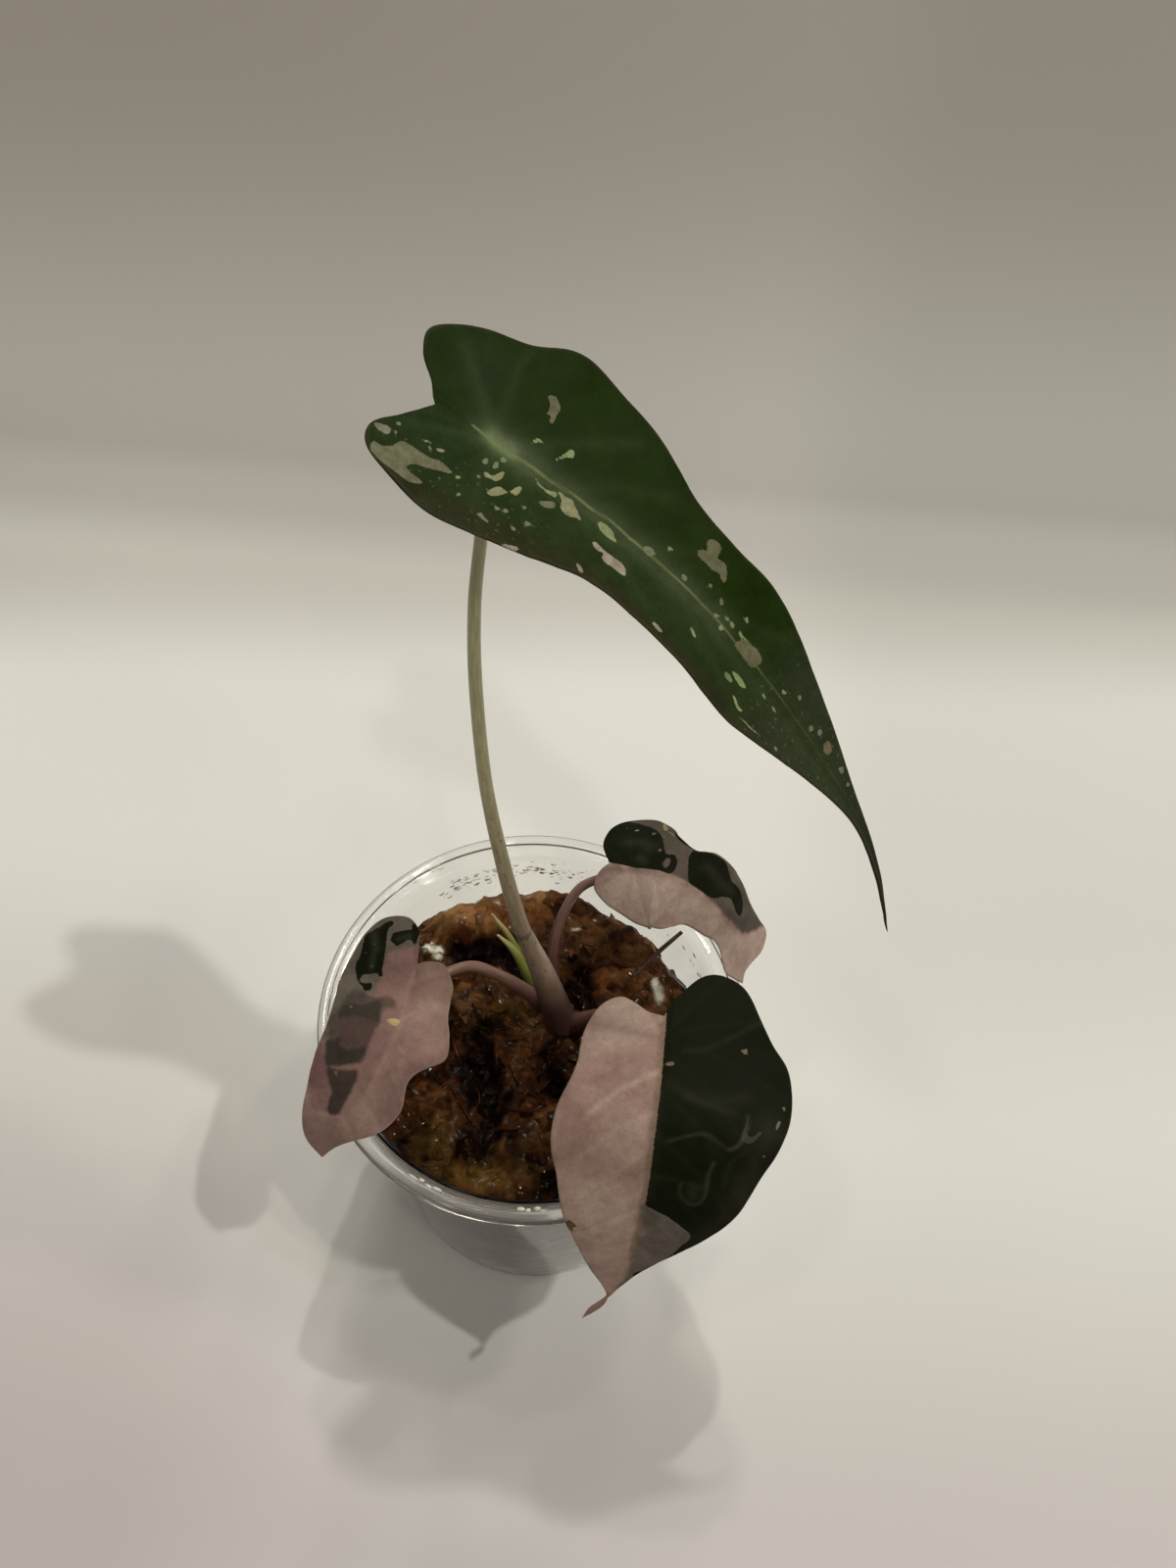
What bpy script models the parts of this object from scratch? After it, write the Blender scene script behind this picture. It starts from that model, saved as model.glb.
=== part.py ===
"""A young variegated African mask plant standing in wet moss in a clear plastic cup.

One tall arrow-shaped leaf, three small juvenile leaves and a new shoot rise from a rootstock
that is buried in the moss. Sizes are in millimetres and are turned into metres when a mesh is
made. +Z is up, the origin is the middle of the cup's underside, and the plant is looked at
along +Y.
"""

from dataclasses import dataclass
from math import cos, pi, radians, sin

import bmesh
import bpy
import numpy as np
from mathutils import Vector, noise

MM = 0.001
GAP = 0.3  # clearance between pieces that touch

# Cup
CUP_HEIGHT = 64.0
RIM_RADIUS = 37.0
WALL_TOP_RADIUS = 33.2  # of the tapered wall, where the flat rim starts
BASE_RADIUS = 26.2
CUP_WALL = 0.8
RIM_DEPTH = 1.9
RIM_ROUND = 0.5  # how far the rim's corners are cut back
RIDGE_RADIUS = 35.1  # where the rim's raised border meets its lower ledge
LEDGE_DROP = 0.7  # how far the ledge lies below the border
BASE_ROUND = 1.6
INSIDE_FOOT = 2.0  # height at which the inside wall starts
CUP_SIDES = 72

# Moss
MOSS_LEVEL = 56.0
MOSS_MOUND = 1.2  # how much higher the moss stands round the stems
MOSS_LUMP = 1.9
MOSS_TUFT = 0.9
MOSS_DENT = 0.5  # hollows in the moss along the cup's wall
MOSS_SIDES = 64
MOSS_RINGS = 17
MOSS_COURSES = 7

# Rootstock
CROWN = (4.8, 5.2)  # where the stems stand, seen from above
CROWN_TOP = 50.0
CORM_RADIUS = 7.2
CORM_HEIGHT = 15.0
CORM_SIDES = 16
ROOT_COUNT = 6
ROOT_RADIUS = 1.1
ROOT_TURN = 0.12  # how far each stretch of a root turns aside, in radians
ROOT_STEPS = [(3, 9, 1.0), (9, 13, 0.9), (13, 20, 0.7), (14, 29, 0.45)]  # reach, drop, thickness

# Blades
BLADE = 0.7  # thickness
RIB = 0.8  # how far the midrib stands out below the blade beside the stalk
RIB_SHARE = 0.12  # half width of the rib as a share of the half blade
BLADE_COLUMNS = (0.0, RIB_SHARE, 0.34, 0.56, 0.78, 1.0)
WAVE_LENGTH = 13.0  # of the margin's waves
WAVE_REACH = 14.0  # distance from the midrib at which the waves have their full height


@dataclass
class Leaf:
    """One leaf blade.

    pose has a row for each midrib point from the stalk to the tip: x, y, z, the compass angle
    that the left half points to, the rise of the right half, the rise of the left half, and how
    fast the halves bend down towards the margin. left_edge and right_edge are points in the flat
    blade, as distance along the midrib from the stalk and distance from the midrib.
    """

    pose: list
    sinus: tuple
    left_edge: list
    right_edge: list
    wave: float
    rows: int


@dataclass
class Stalk:
    """One leaf stalk: points from the rootstock up to the blade, each x, y, z and radius."""

    points: list
    sides: int
    steps: int


TALL_LEAF = Leaf(
    pose=[
        (-3.5, 8.0, 189.0, 62, 12, 12, 0.004),
        (9.5, 1.2, 182.5, 62, 14, 14, 0.005),
        (18.5, -3.6, 177.0, 62, 14, 14, 0.006),
        (25.5, -7.5, 170.5, 62, 14, 14, 0.006),
        (34.5, -12.3, 160.0, 62, 16, 16, 0.006),
        (41.0, -15.7, 151.5, 62, 18, 18, 0.006),
        (44.5, -17.5, 143.5, 62, 20, 20, 0.004),
        (48.0, -19.3, 131.5, 62, 20, 20, 0.0),
    ],
    sinus=(-7.5, -1.2),
    left_edge=[
        (-9.8, 1.4), (-12.4, 3.4), (-13.3, 6.6), (-9.0, 10.5), (-3.8, 12.9), (0.0, 15.4),
        (3.8, 16.1), (8.7, 15.3), (17.0, 12.4), (22.5, 10.2), (28.0, 9.4), (34.5, 9.9),
        (42.0, 8.0), (53.7, 4.2), (60.7, 1.9), (66.5, 0.9), (75.0, 0.5), (85.5, 0.0),
    ],
    right_edge=[
        (-9.4, -6.0), (-11.0, -10.0), (-8.6, -13.3), (-1.2, -14.5), (5.2, -13.3),
        (12.9, -10.0), (18.0, -8.3), (25.0, -7.9), (36.0, -8.4), (42.0, -7.6),
        (52.4, -3.8), (60.7, -1.4), (66.5, -0.8), (75.0, -0.5), (85.5, 0.0),
    ],
    wave=0.3,
    rows=38,
)

LEFT_LEAF = Leaf(
    pose=[
        (-19.0, -1.5, 77.0, -31, -6, -6, 0.006),
        (-21.5, -7.5, 77.2, -31, -8, -8, 0.007),
        (-24.5, -13.0, 76.5, -31, -10, -6, 0.007),
        (-27.5, -19.0, 73.5, -31, -10, -2, 0.006),
        (-30.0, -23.5, 69.0, -31, -6, 2, 0.004),
        (-33.0, -26.0, 62.0, -31, 0, 0, 0.0),
    ],
    sinus=(-3.3, -1.5),
    left_edge=[
        (-4.6, 0.3), (-5.1, 2.8), (-2.5, 5.6), (0.0, 6.5), (3.1, 7.5), (5.5, 9.1),
        (8.3, 10.5), (11.1, 9.2), (15.3, 7.5), (20.0, 8.5), (23.9, 7.3), (27.9, 3.4),
        (31.5, 1.3), (35.8, 0.0),
    ],
    right_edge=[
        (-4.4, -3.2), (-8.6, -3.8), (-11.2, -7.3), (-10.0, -11.0), (-6.7, -12.7),
        (-3.0, -13.2), (2.4, -12.8), (9.2, -11.6), (13.9, -10.3), (19.0, -9.7),
        (23.4, -8.9), (28.5, -7.6), (32.6, -5.8), (34.9, -3.6), (35.8, 0.0),
    ],
    wave=0.5,
    rows=26,
)

BACK_LEAF = Leaf(
    pose=[
        (16.5, 17.5, 85.0, 66, -50, -8, 0.012),
        (21.0, 16.0, 86.5, 66, -50, -8, 0.012),
        (26.0, 14.5, 85.0, 62, -44, -8, 0.012),
        (31.5, 12.5, 79.5, 55, -28, -10, 0.012),
        (34.0, 11.5, 75.0, 50, -10, -8, 0.008),
        (36.3, 6.5, 66.5, 50, 0, 0, 0.0),
    ],
    sinus=(-4.7, 0.2),
    left_edge=[
        (-7.8, 4.4), (-8.6, 8.4), (-8.1, 11.0), (-6.4, 13.2), (-4.0, 14.1), (-1.4, 13.6),
        (1.4, 12.0), (6.3, 8.9), (9.4, 7.2), (11.6, 8.1), (14.0, 9.2), (18.5, 9.2),
        (22.6, 6.8), (25.6, 7.3), (28.3, 8.2), (30.8, 6.2), (31.7, 3.0), (32.6, 1.0),
        (34.4, 0.0),
    ],
    right_edge=[
        (-6.8, -1.9), (-7.5, -4.4), (-5.4, -6.6), (-2.7, -7.8), (1.6, -9.4), (7.5, -9.9),
        (12.6, -9.0), (14.3, -7.2), (15.7, -5.6), (20.3, -4.5), (26.0, -3.4), (30.2, -3.4),
        (32.4, -1.9), (34.4, 0.0),
    ],
    wave=0.4,
    rows=26,
)

FRONT_LEAF = Leaf(
    pose=[
        (22.0, -11.5, 80.5, -5, -12, 4, 0.005),
        (21.3, -20.0, 80.0, -5, -10, 4, 0.005),
        (20.3, -28.0, 76.8, -5, -3, 3, 0.004),
        (19.5, -34.0, 71.0, -5, 3, 2, 0.003),
        (18.2, -39.5, 62.5, -5, 6, 0, 0.002),
        (15.5, -43.5, 53.0, -5, 0, 0, 0.0),
        (10.5, -47.0, 48.0, -5, 0, 0, 0.0),
    ],
    sinus=(-3.8, -0.4),
    left_edge=[
        (-6.2, 0.6), (-8.5, 2.4), (-11.1, 4.9), (-12.0, 7.6), (-11.1, 10.8), (-9.0, 13.2),
        (-4.7, 15.6), (-0.5, 17.6), (3.2, 20.0), (6.8, 21.0), (10.5, 21.0), (14.2, 20.0),
        (18.9, 18.3), (23.9, 16.1), (28.7, 13.5), (32.3, 10.5), (36.0, 6.4), (40.3, 2.9),
        (44.7, 0.9), (49.5, 0.5), (54.5, 0.0),
    ],
    right_edge=[
        (-4.6, -3.1), (-6.4, -5.8), (-7.2, -8.2), (-5.7, -11.1), (-2.3, -13.1),
        (0.9, -13.7), (4.2, -13.8), (9.2, -14.9), (13.2, -15.8), (17.2, -16.0),
        (20.5, -15.6), (24.7, -14.3), (29.4, -12.9), (34.0, -11.1), (38.9, -8.2),
        (43.8, -5.0), (47.4, -1.9), (50.0, -0.6), (54.5, 0.0),
    ],
    wave=0.4,
    rows=28,
)

LEAVES = {"tall": TALL_LEAF, "left": LEFT_LEAF, "back": BACK_LEAF, "front": FRONT_LEAF}

STALKS = {
    "tall": Stalk(
        points=[
            (5.6, 1.9, 50.4, 2.4), (5.6, 1.8, 58.9, 2.4), (4.0, 2.1, 67.0, 2.05),
            (2.3, 2.5, 75.6, 1.8), (-0.5, 3.2, 90.7, 1.5), (-3.2, 4.0, 107.2, 1.3),
            (-5.7, 5.0, 126.7, 1.1), (-6.8, 6.0, 147.8, 0.95), (-6.8, 6.7, 162.6, 0.85),
            (-5.8, 7.3, 174.3, 0.8), (-4.5, 7.7, 182.7, 0.8), (-3.4, 8.0, 189.5, 0.8),
        ],
        sides=10,
        steps=30,
    ),
    "left": Stalk(
        points=[
            (1.8, 5.6, 50.4, 1.2), (1.7, 5.7, 52.8, 1.2), (0.6, 6.4, 57.2, 1.2),
            (-3.0, 6.0, 64.0, 1.1), (-6.6, 5.2, 69.5, 1.0), (-10.0, 4.1, 73.3, 0.9),
            (-13.4, 2.4, 74.4, 0.85), (-16.8, 0.0, 74.4, 0.8), (-18.7, -1.3, 75.2, 0.8),
            (-19.2, -1.7, 77.2, 0.8),
        ],
        sides=8,
        steps=20,
    ),
    "back": Stalk(
        points=[
            (4.6, 8.6, 50.4, 1.2), (4.5, 8.9, 52.8, 1.2), (3.0, 12.4, 57.5, 1.15),
            (3.3, 14.9, 64.0, 1.0), (4.9, 17.1, 70.0, 0.9), (7.2, 18.7, 75.0, 0.85),
            (10.2, 18.9, 78.2, 0.8), (13.4, 18.3, 80.6, 0.8), (15.9, 17.6, 82.6, 0.8),
            (16.7, 17.5, 85.4, 0.8),
        ],
        sides=8,
        steps=20,
    ),
    "front": Stalk(
        points=[
            (9.6, 2.3, 50.4, 1.3), (9.6, 2.1, 56.5, 1.3), (10.9, -0.4, 64.5, 1.2),
            (13.7, -2.9, 71.0, 1.05), (17.4, -6.6, 75.0, 0.95), (20.4, -9.8, 77.0, 0.9),
            (21.8, -11.3, 78.6, 0.9), (22.0, -11.6, 80.8, 0.9),
        ],
        sides=8,
        steps=20,
    ),
}

SHOOT_SHEATH = [
    (0.6, 9.0, 50.4, 1.1), (0.5, 9.0, 52.8, 1.1), (-0.6, 9.4, 57.0, 1.15), (-1.9, 10.2, 61.5, 1.0),
    (-4.0, 11.7, 65.5, 0.7), (-6.6, 12.5, 69.0, 0.25),
]
SHOOT_SPIKE = [
    (0.5, 9.1, 53.0, 0.8), (-0.7, 9.8, 58.0, 0.8), (-2.6, 11.6, 63.0, 0.75),
    (-4.8, 13.4, 67.5, 0.55), (-6.8, 14.2, 71.0, 0.4), (-7.6, 14.4, 73.0, 0.2),
]

# Colours are linear red, green and blue
COLOURS = {
    "cup": ((0.86, 0.88, 0.88), 0.08),
    "moss": ((0.21, 0.09, 0.03), 0.55),
    "rootstock": ((0.24, 0.14, 0.10), 0.7),
    "petiole_tall": ((0.48, 0.44, 0.30), 0.45),
    "petiole_small": ((0.48, 0.24, 0.23), 0.45),
    "new_shoot": ((0.42, 0.48, 0.13), 0.45),
    "blade_tall": ((0.02, 0.06, 0.015), 0.4),
    "blade_juvenile": ((0.50, 0.26, 0.27), 0.45),
}


def smooth_path(points, steps):
    """Points at even distances along a smooth curve through the given rows of numbers."""
    rows = np.asarray(points, float)
    ends = np.vstack([2 * rows[0] - rows[1], rows, 2 * rows[-1] - rows[-2]])
    fine = []
    for a, b, c, d in zip(ends, ends[1:], ends[2:], ends[3:]):
        for t in np.linspace(0, 1, 16, endpoint=False):
            curve = 2 * b + (c - a) * t + (2 * a - 5 * b + 4 * c - d) * t**2
            fine.append(0.5 * (curve + (3 * b - a - 3 * c + d) * t**3))
    fine.append(rows[-1])
    fine = np.array(fine)
    length = run_of(fine)
    wanted = np.linspace(0, length[-1], steps + 1)
    return np.stack([np.interp(wanted, length, column) for column in fine.T], -1)


def run_of(points):
    """Distance along a chain of points, from its first one."""
    return np.r_[0, np.cumsum(np.linalg.norm(np.diff(points[:, :3], axis=0), axis=1))]


def unit(vectors):
    return vectors / np.linalg.norm(vectors, axis=-1, keepdims=True)


def new_object(name, verts, faces, colour):
    """Makes an object from points in millimetres and gives it its own material."""
    mesh = bpy.data.meshes.new(name)
    mesh.from_pydata([Vector(v) * MM for v in verts], [], faces)
    mesh.validate()
    made = bpy.data.objects.new(name, mesh)
    bpy.context.collection.objects.link(made)
    tint, roughness = COLOURS[colour]
    material = bpy.data.materials.new(name)
    material.use_nodes = True
    shader = material.node_tree.nodes["Principled BSDF"]
    shader.inputs["Base Color"].default_value = (*tint, 1)
    shader.inputs["Roughness"].default_value = roughness
    shader.inputs["Metallic"].default_value = 0
    mesh.materials.append(material)
    face_out(mesh)
    mesh.shade_smooth()
    mesh.set_sharp_from_angle(angle=radians(50))
    return made


def face_out(mesh):
    """Splits the faces into triangles and turns them all to the outside."""
    shape = bmesh.new()
    shape.from_mesh(mesh)
    bmesh.ops.triangulate(shape, faces=shape.faces[:], quad_method="FIXED")
    bmesh.ops.recalc_face_normals(shape, faces=shape.faces[:])
    shape.to_mesh(mesh)
    shape.free()


def hide_cutter(cutter):
    cutter.hide_render = True
    cutter.display_type = "WIRE"


def cut(piece, cutter):
    """Takes the cutter's shape out of the piece and leaves both in place."""
    boolean = piece.modifiers.new(f"clear of {cutter.name}", "BOOLEAN")
    boolean.operation = "DIFFERENCE"
    boolean.object = cutter
    boolean.solver = "EXACT"
    hide_cutter(cutter)


def join_solids(pieces):
    """Joins overlapping solids into the first one and removes the others."""
    first, others = pieces[0], pieces[1:]
    for other in others:
        union = first.modifiers.new("union", "BOOLEAN")
        union.operation = "UNION"
        union.object = other
        union.solver = "EXACT"
    depsgraph = bpy.context.evaluated_depsgraph_get()
    joined = bpy.data.meshes.new_from_object(first.evaluated_get(depsgraph))
    first.modifiers.clear()
    first.data = joined
    for other in others:
        bpy.data.objects.remove(other)
    return first


def turned(name, profile, sides, colour, centre=(0.0, 0.0)):
    """A closed ring or solid turned about Z. A profile that starts and ends at radius 0 gets
    one point there."""
    verts, faces, loops = [], [], []
    for radius, height in profile:
        if radius == 0:
            loops.append([len(verts)])
            verts.append((centre[0], centre[1], height))
            continue
        loops.append(list(range(len(verts), len(verts) + sides)))
        for k in range(sides):
            turn = 2 * pi * k / sides
            verts.append((centre[0] + radius * cos(turn), centre[1] + radius * sin(turn), height))
    for lower, upper in zip(loops, loops[1:]):
        faces += skin(lower, upper, sides)
    return new_object(name, verts, faces, colour)


def skin(lower, upper, sides):
    """Faces between two loops of points, either of which may be a single point."""
    faces = []
    for k in range(sides):
        n = (k + 1) % sides
        if len(lower) == 1:
            faces.append((lower[0], upper[n], upper[k]))
        elif len(upper) == 1:
            faces.append((lower[k], lower[n], upper[0]))
        else:
            faces.append((lower[k], lower[n], upper[n], upper[k]))
    return faces


def tube(name, points, sides, steps, colour, extra=0.0):
    """A round stem through points of x, y, z and radius, with extra added to the radius."""
    path = smooth_path(points, steps)
    along = unit(np.gradient(path[:, :3], axis=0))
    across = unit(np.cross(along[0], (0.0, 1.0, 0.0)))
    verts, faces = [], []
    for place, heading in zip(path, along):
        across = unit(across - heading * np.dot(across, heading))
        beside = np.cross(heading, across)
        for k in range(sides):
            turn = 2 * pi * k / sides
            reach = (place[3] + extra) * (across * cos(turn) + beside * sin(turn))
            verts.append(tuple(place[:3] + reach))
    loops = [list(range(i * sides, (i + 1) * sides)) for i in range(steps + 1)]
    for lower, upper in zip(loops, loops[1:]):
        faces += skin(lower, upper, sides)
    faces.append(tuple(reversed(loops[0])))
    faces.append(tuple(loops[-1]))
    return new_object(name, verts, faces, colour)


def cup_profile():
    """Radius and height round the cup's section, from the underside's middle, up the outside,
    over the flat rim and down the inside."""
    base, wall, edge = BASE_RADIUS, CUP_WALL, RIM_ROUND
    top, under = CUP_HEIGHT, CUP_HEIGHT - RIM_DEPTH
    ledge, mouth = CUP_HEIGHT - LEDGE_DROP, WALL_TOP_RADIUS - CUP_WALL
    return [
        (0.0, 0.0), (base - BASE_ROUND, 0.0), (base - 0.25 * BASE_ROUND, 0.3 * BASE_ROUND),
        (base, BASE_ROUND), (WALL_TOP_RADIUS, under), (RIM_RADIUS - edge, under),
        (RIM_RADIUS, under + edge), (RIM_RADIUS, top - edge), (RIM_RADIUS - edge, top),
        (RIDGE_RADIUS, top), (RIDGE_RADIUS - 0.5, ledge), (mouth + edge, ledge),
        (mouth, ledge - edge), (base - wall, INSIDE_FOOT), (base - 2 * wall, wall), (0.0, wall),
    ]


def inside_radius(height):
    """The cup's inner radius where the moss lies."""
    low, high = BASE_RADIUS - CUP_WALL, WALL_TOP_RADIUS - CUP_WALL
    mouth = CUP_HEIGHT - LEDGE_DROP - RIM_ROUND
    return low + (high - low) * (height - INSIDE_FOOT) / (mouth - INSIDE_FOOT)


def moss_top(x, y):
    """Height of the moss: a low mound round the stems with lumps, tufts and hollows."""
    mound = MOSS_MOUND * np.exp(-((x - CROWN[0]) ** 2 + (y - CROWN[1]) ** 2) / 150.0)
    lump = MOSS_LUMP * noise.noise(Vector((x / 6.0, y / 6.0, 4.2)))
    tuft = MOSS_TUFT * (1 - 2 * abs(noise.noise(Vector((x / 3.4, y / 3.4, 9.1)))))
    return MOSS_LEVEL + mound + lump + tuft - MOSS_TUFT / 2


def make_moss():
    """The moss that fills the cup, with a rugged top and a wall that follows the cup."""
    floor = CUP_WALL + GAP
    verts, loops = [(0.0, 0.0, floor)], [[0]]
    levels = [floor, floor + BASE_ROUND]
    levels += list(np.linspace(9.0, MOSS_LEVEL - 4.5, MOSS_COURSES - 2))
    for level in levels:
        inset = 1.2 if level == floor else 0.0
        loop = []
        for k in range(MOSS_SIDES):
            turn = 2 * pi * k / MOSS_SIDES
            spot = Vector((3 * cos(turn), 3 * sin(turn), level / 5.0))
            dent = MOSS_DENT * abs(noise.noise(spot))
            radius = inside_radius(level) - GAP - 0.1 - dent - inset
            loop.append(len(verts))
            verts.append((radius * cos(turn), radius * sin(turn), level))
        loops.append(loop)
    for ring in range(MOSS_RINGS + 1):
        share = 1 - ring / (MOSS_RINGS + 1)
        loop = []
        for k in range(MOSS_SIDES):
            turn = 2 * pi * k / MOSS_SIDES
            radius = (inside_radius(MOSS_LEVEL - 2.5) - GAP - 0.3) * share**0.9
            x, y = radius * cos(turn), radius * sin(turn)
            loop.append(len(verts))
            verts.append((x, y, moss_top(x, y)))
        loops.append(loop)
    loops.append([len(verts)])
    verts.append((0.0, 0.0, moss_top(0.0, 0.0)))
    faces = []
    for lower, upper in zip(loops, loops[1:]):
        faces += skin(lower, upper, MOSS_SIDES)
    return new_object("moss", verts, faces, "moss")


def corm_profile(extra):
    top, radius = CROWN_TOP + extra, CORM_RADIUS + extra
    foot = CROWN_TOP - CORM_HEIGHT - extra
    return [
        (0.0, foot), (0.5 * radius, foot + 1.4), (0.86 * radius, foot + 5.0),
        (radius, foot + 9.5), (radius, top - 2.5), (radius - 0.8, top), (0.0, top),
    ]


def root_path(k):
    """One root: out of the corm's lower side, then down and outwards through the moss."""
    turn = 2 * pi * (k + 0.3) / ROOT_COUNT
    lean = 1.0 + 0.25 * sin(2.4 * k)
    rows = []
    for step, (reach, drop, thickness) in enumerate(ROOT_STEPS):
        bend = turn + ROOT_TURN * step * (-1) ** k
        x = CROWN[0] + reach * lean * cos(bend)
        y = CROWN[1] + reach * lean * sin(bend)
        rows.append((x, y, CROWN_TOP - drop - 1.5 * sin(1.7 * k), thickness * ROOT_RADIUS))
    return rows


def make_rootstock(name, extra):
    pieces = [turned(name, corm_profile(extra), CORM_SIDES, "rootstock", CROWN)]
    for k in range(ROOT_COUNT):
        pieces.append(tube(f"{name}_root_{k}", root_path(k), 6, 8, "rootstock", extra))
    return join_solids(pieces)


def make_shoot(name, extra):
    sheath = tube(name, SHOOT_SHEATH, 8, 12, "new_shoot", extra)
    spike = tube(f"{name}_spike", SHOOT_SPIKE, 8, 12, "new_shoot", extra)
    return join_solids([sheath, spike])


def blade_point(leaf, u, v):
    """The middle of the blade and its upward direction at distances along and across it."""
    pose = np.asarray(leaf.pose, float)
    fine = smooth_path(pose[:, :3], 200)
    run = run_of(fine)
    knots = [run[np.argmin(np.linalg.norm(fine - p, axis=1))] for p in pose[:, :3]]
    u, v = np.asarray(u, float), np.asarray(v, float)
    first, last = unit(fine[4] - fine[0]), unit(fine[-1] - fine[-5])
    centre = np.stack([np.interp(u, run, column) for column in fine.T], -1)
    centre = centre + np.multiply.outer(np.minimum(u, 0), first)
    centre = centre + np.multiply.outer(np.maximum(u - run[-1], 0), last)
    heading = unit(np.gradient(fine, axis=0))
    along = unit(np.stack([np.interp(u, run, column) for column in heading.T], -1))
    turn, right, left, bend = (np.interp(u, knots, pose[:, i]) for i in (3, 4, 5, 6))
    turn = np.radians(turn)
    across = np.stack([np.cos(turn), np.sin(turn), 0 * turn], -1)
    across = unit(across - along * (across * along).sum(-1, keepdims=True))
    up = np.cross(along, across)
    fold = np.radians(np.where(v > 0, left, right))
    wave = leaf.wave * (v / WAVE_REACH) ** 2 * np.sin(2 * pi * u / WAVE_LENGTH + np.sign(v))
    rise = np.abs(v) * np.sin(fold) - bend * v**2 + wave
    return centre + across * (v * np.cos(fold))[..., None] + up * rise[..., None], up


def blade_grid(leaf):
    """Flat coordinates of the blade's points: the midrib, then rows out to each margin."""
    length = leaf.left_edge[-1][0]
    share = np.linspace(0, 1, leaf.rows + 1)
    along = leaf.sinus[0] + (length - leaf.sinus[0]) * share**1.3
    off = leaf.sinus[1] * np.minimum(along, 0) / leaf.sinus[0]
    midrib = np.stack([along, off], -1)
    halves = []
    for edge in (leaf.left_edge, leaf.right_edge):
        margin = smooth_path([leaf.sinus, *edge], leaf.rows)
        halves.append([midrib + (margin - midrib) * q for q in BLADE_COLUMNS[1:]])
    return midrib, halves


def make_blade(name, leaf, colour, over=0.0, under=0.0):
    """A thin closed blade with its midrib standing out below. over and under make it thicker."""
    midrib, halves = blade_grid(leaf)
    flat, number = [tuple(p) for p in midrib], {}
    for i in range(leaf.rows + 1):
        number[0, 0, i] = number[1, 0, i] = i
    for side, columns in enumerate(halves):
        for j, column in enumerate(columns, 1):
            for i, point in enumerate(column):
                if i in (0, leaf.rows):
                    number[side, j, i] = i
                else:
                    number[side, j, i] = len(flat)
                    flat.append(tuple(point))
    flat = np.array(flat)
    middle, up = blade_point(leaf, flat[:, 0], flat[:, 1])
    length = leaf.left_edge[-1][0]
    fade = np.clip(1 - flat[:, 0] / length, 0, 1) * np.clip(1 + flat[:, 0] / 6.0, 0, 1)
    rib = np.where(np.arange(len(flat)) <= leaf.rows, RIB * fade, 0.0)[:, None]
    upper = middle + up * (BLADE / 2 + over)
    lower = middle - up * (BLADE / 2 + under + rib)
    verts = [tuple(p) for p in upper] + [tuple(p) for p in lower]
    count = len(flat)
    faces = []
    last = len(BLADE_COLUMNS) - 1
    for side in (0, 1):
        for i in range(leaf.rows):
            for j in range(last):
                corners = [number[side, j, i], number[side, j, i + 1]]
                corners += [number[side, j + 1, i + 1], number[side, j + 1, i]]
                for triangle in split(corners):
                    faces.append(triangle)
                    faces.append(tuple(count + k for k in reversed(triangle)))
            a, b = number[side, last, i], number[side, last, i + 1]
            faces.append((a, b, count + b, count + a))
    return new_object(name, verts, faces, colour)


def split(corners):
    """Splits four corners into triangles, and leaves out one that has no area."""
    a, b, c, d = corners
    return [t for t in ((a, b, c), (a, c, d)) if len(set(t)) == 3]


def build():
    for old in list(bpy.data.objects):
        bpy.data.objects.remove(old)
    turned("cup", cup_profile(), CUP_SIDES, "cup")
    moss = make_moss()
    make_rootstock("rootstock", 0.0)
    cut(moss, make_rootstock("rootstock_room", GAP))
    make_shoot("new_shoot", 0.0)
    cut(moss, make_shoot("shoot_hole", GAP))
    for name, leaf in LEAVES.items():
        stalk = STALKS[name]
        blade_colour = "blade_tall" if name == "tall" else "blade_juvenile"
        stalk_colour = "petiole_tall" if name == "tall" else "petiole_small"
        make_blade(f"blade_{name}", leaf, blade_colour)
        petiole = tube(f"petiole_{name}", stalk.points, stalk.sides, stalk.steps, stalk_colour)
        cut(petiole, make_blade(f"room_under_{name}", leaf, blade_colour, over=6.0, under=GAP))
        cut(moss, tube(f"hole_{name}", stalk.points, stalk.sides, stalk.steps, stalk_colour, GAP))


build()
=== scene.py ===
"""Looks of a young variegated African mask plant in wet moss in a clear plastic cup.

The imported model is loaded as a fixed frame. Each visible node is then made again in finer
detail in its own place: the cup with its flat rim, its film of mist and its drops, the moss
with its sheets, leaflets and strands, the stalks, the shoot and the four blades with their
veins and variegation. The buried rootstock keeps its shape and gets its bark. Sizes are in
millimetres and are turned into metres when a mesh is made. +Z is up and the plant is looked at
along +Y.
"""

from dataclasses import dataclass, field
from itertools import product
from math import cos, pi, radians, sin

import bpy
import numpy as np
from bpy.props import FloatProperty, FloatVectorProperty, IntProperty, PointerProperty
from mathutils import Matrix, Vector


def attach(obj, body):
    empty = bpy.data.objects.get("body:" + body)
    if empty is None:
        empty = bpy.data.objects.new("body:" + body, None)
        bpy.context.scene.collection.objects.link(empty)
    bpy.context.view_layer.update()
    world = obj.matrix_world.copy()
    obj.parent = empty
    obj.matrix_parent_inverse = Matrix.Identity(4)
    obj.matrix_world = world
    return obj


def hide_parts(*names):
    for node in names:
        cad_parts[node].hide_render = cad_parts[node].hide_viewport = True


bl_info = {
    "name": "Potted mask plant",
    "version": (1, 0, 0),
    "blender": (4, 5, 0),
    "location": "3D View > Sidebar > Mask Plant",
    "description": "Dresses a potted variegated African mask plant and its plain studio",
    "category": "Object",
}

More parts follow.
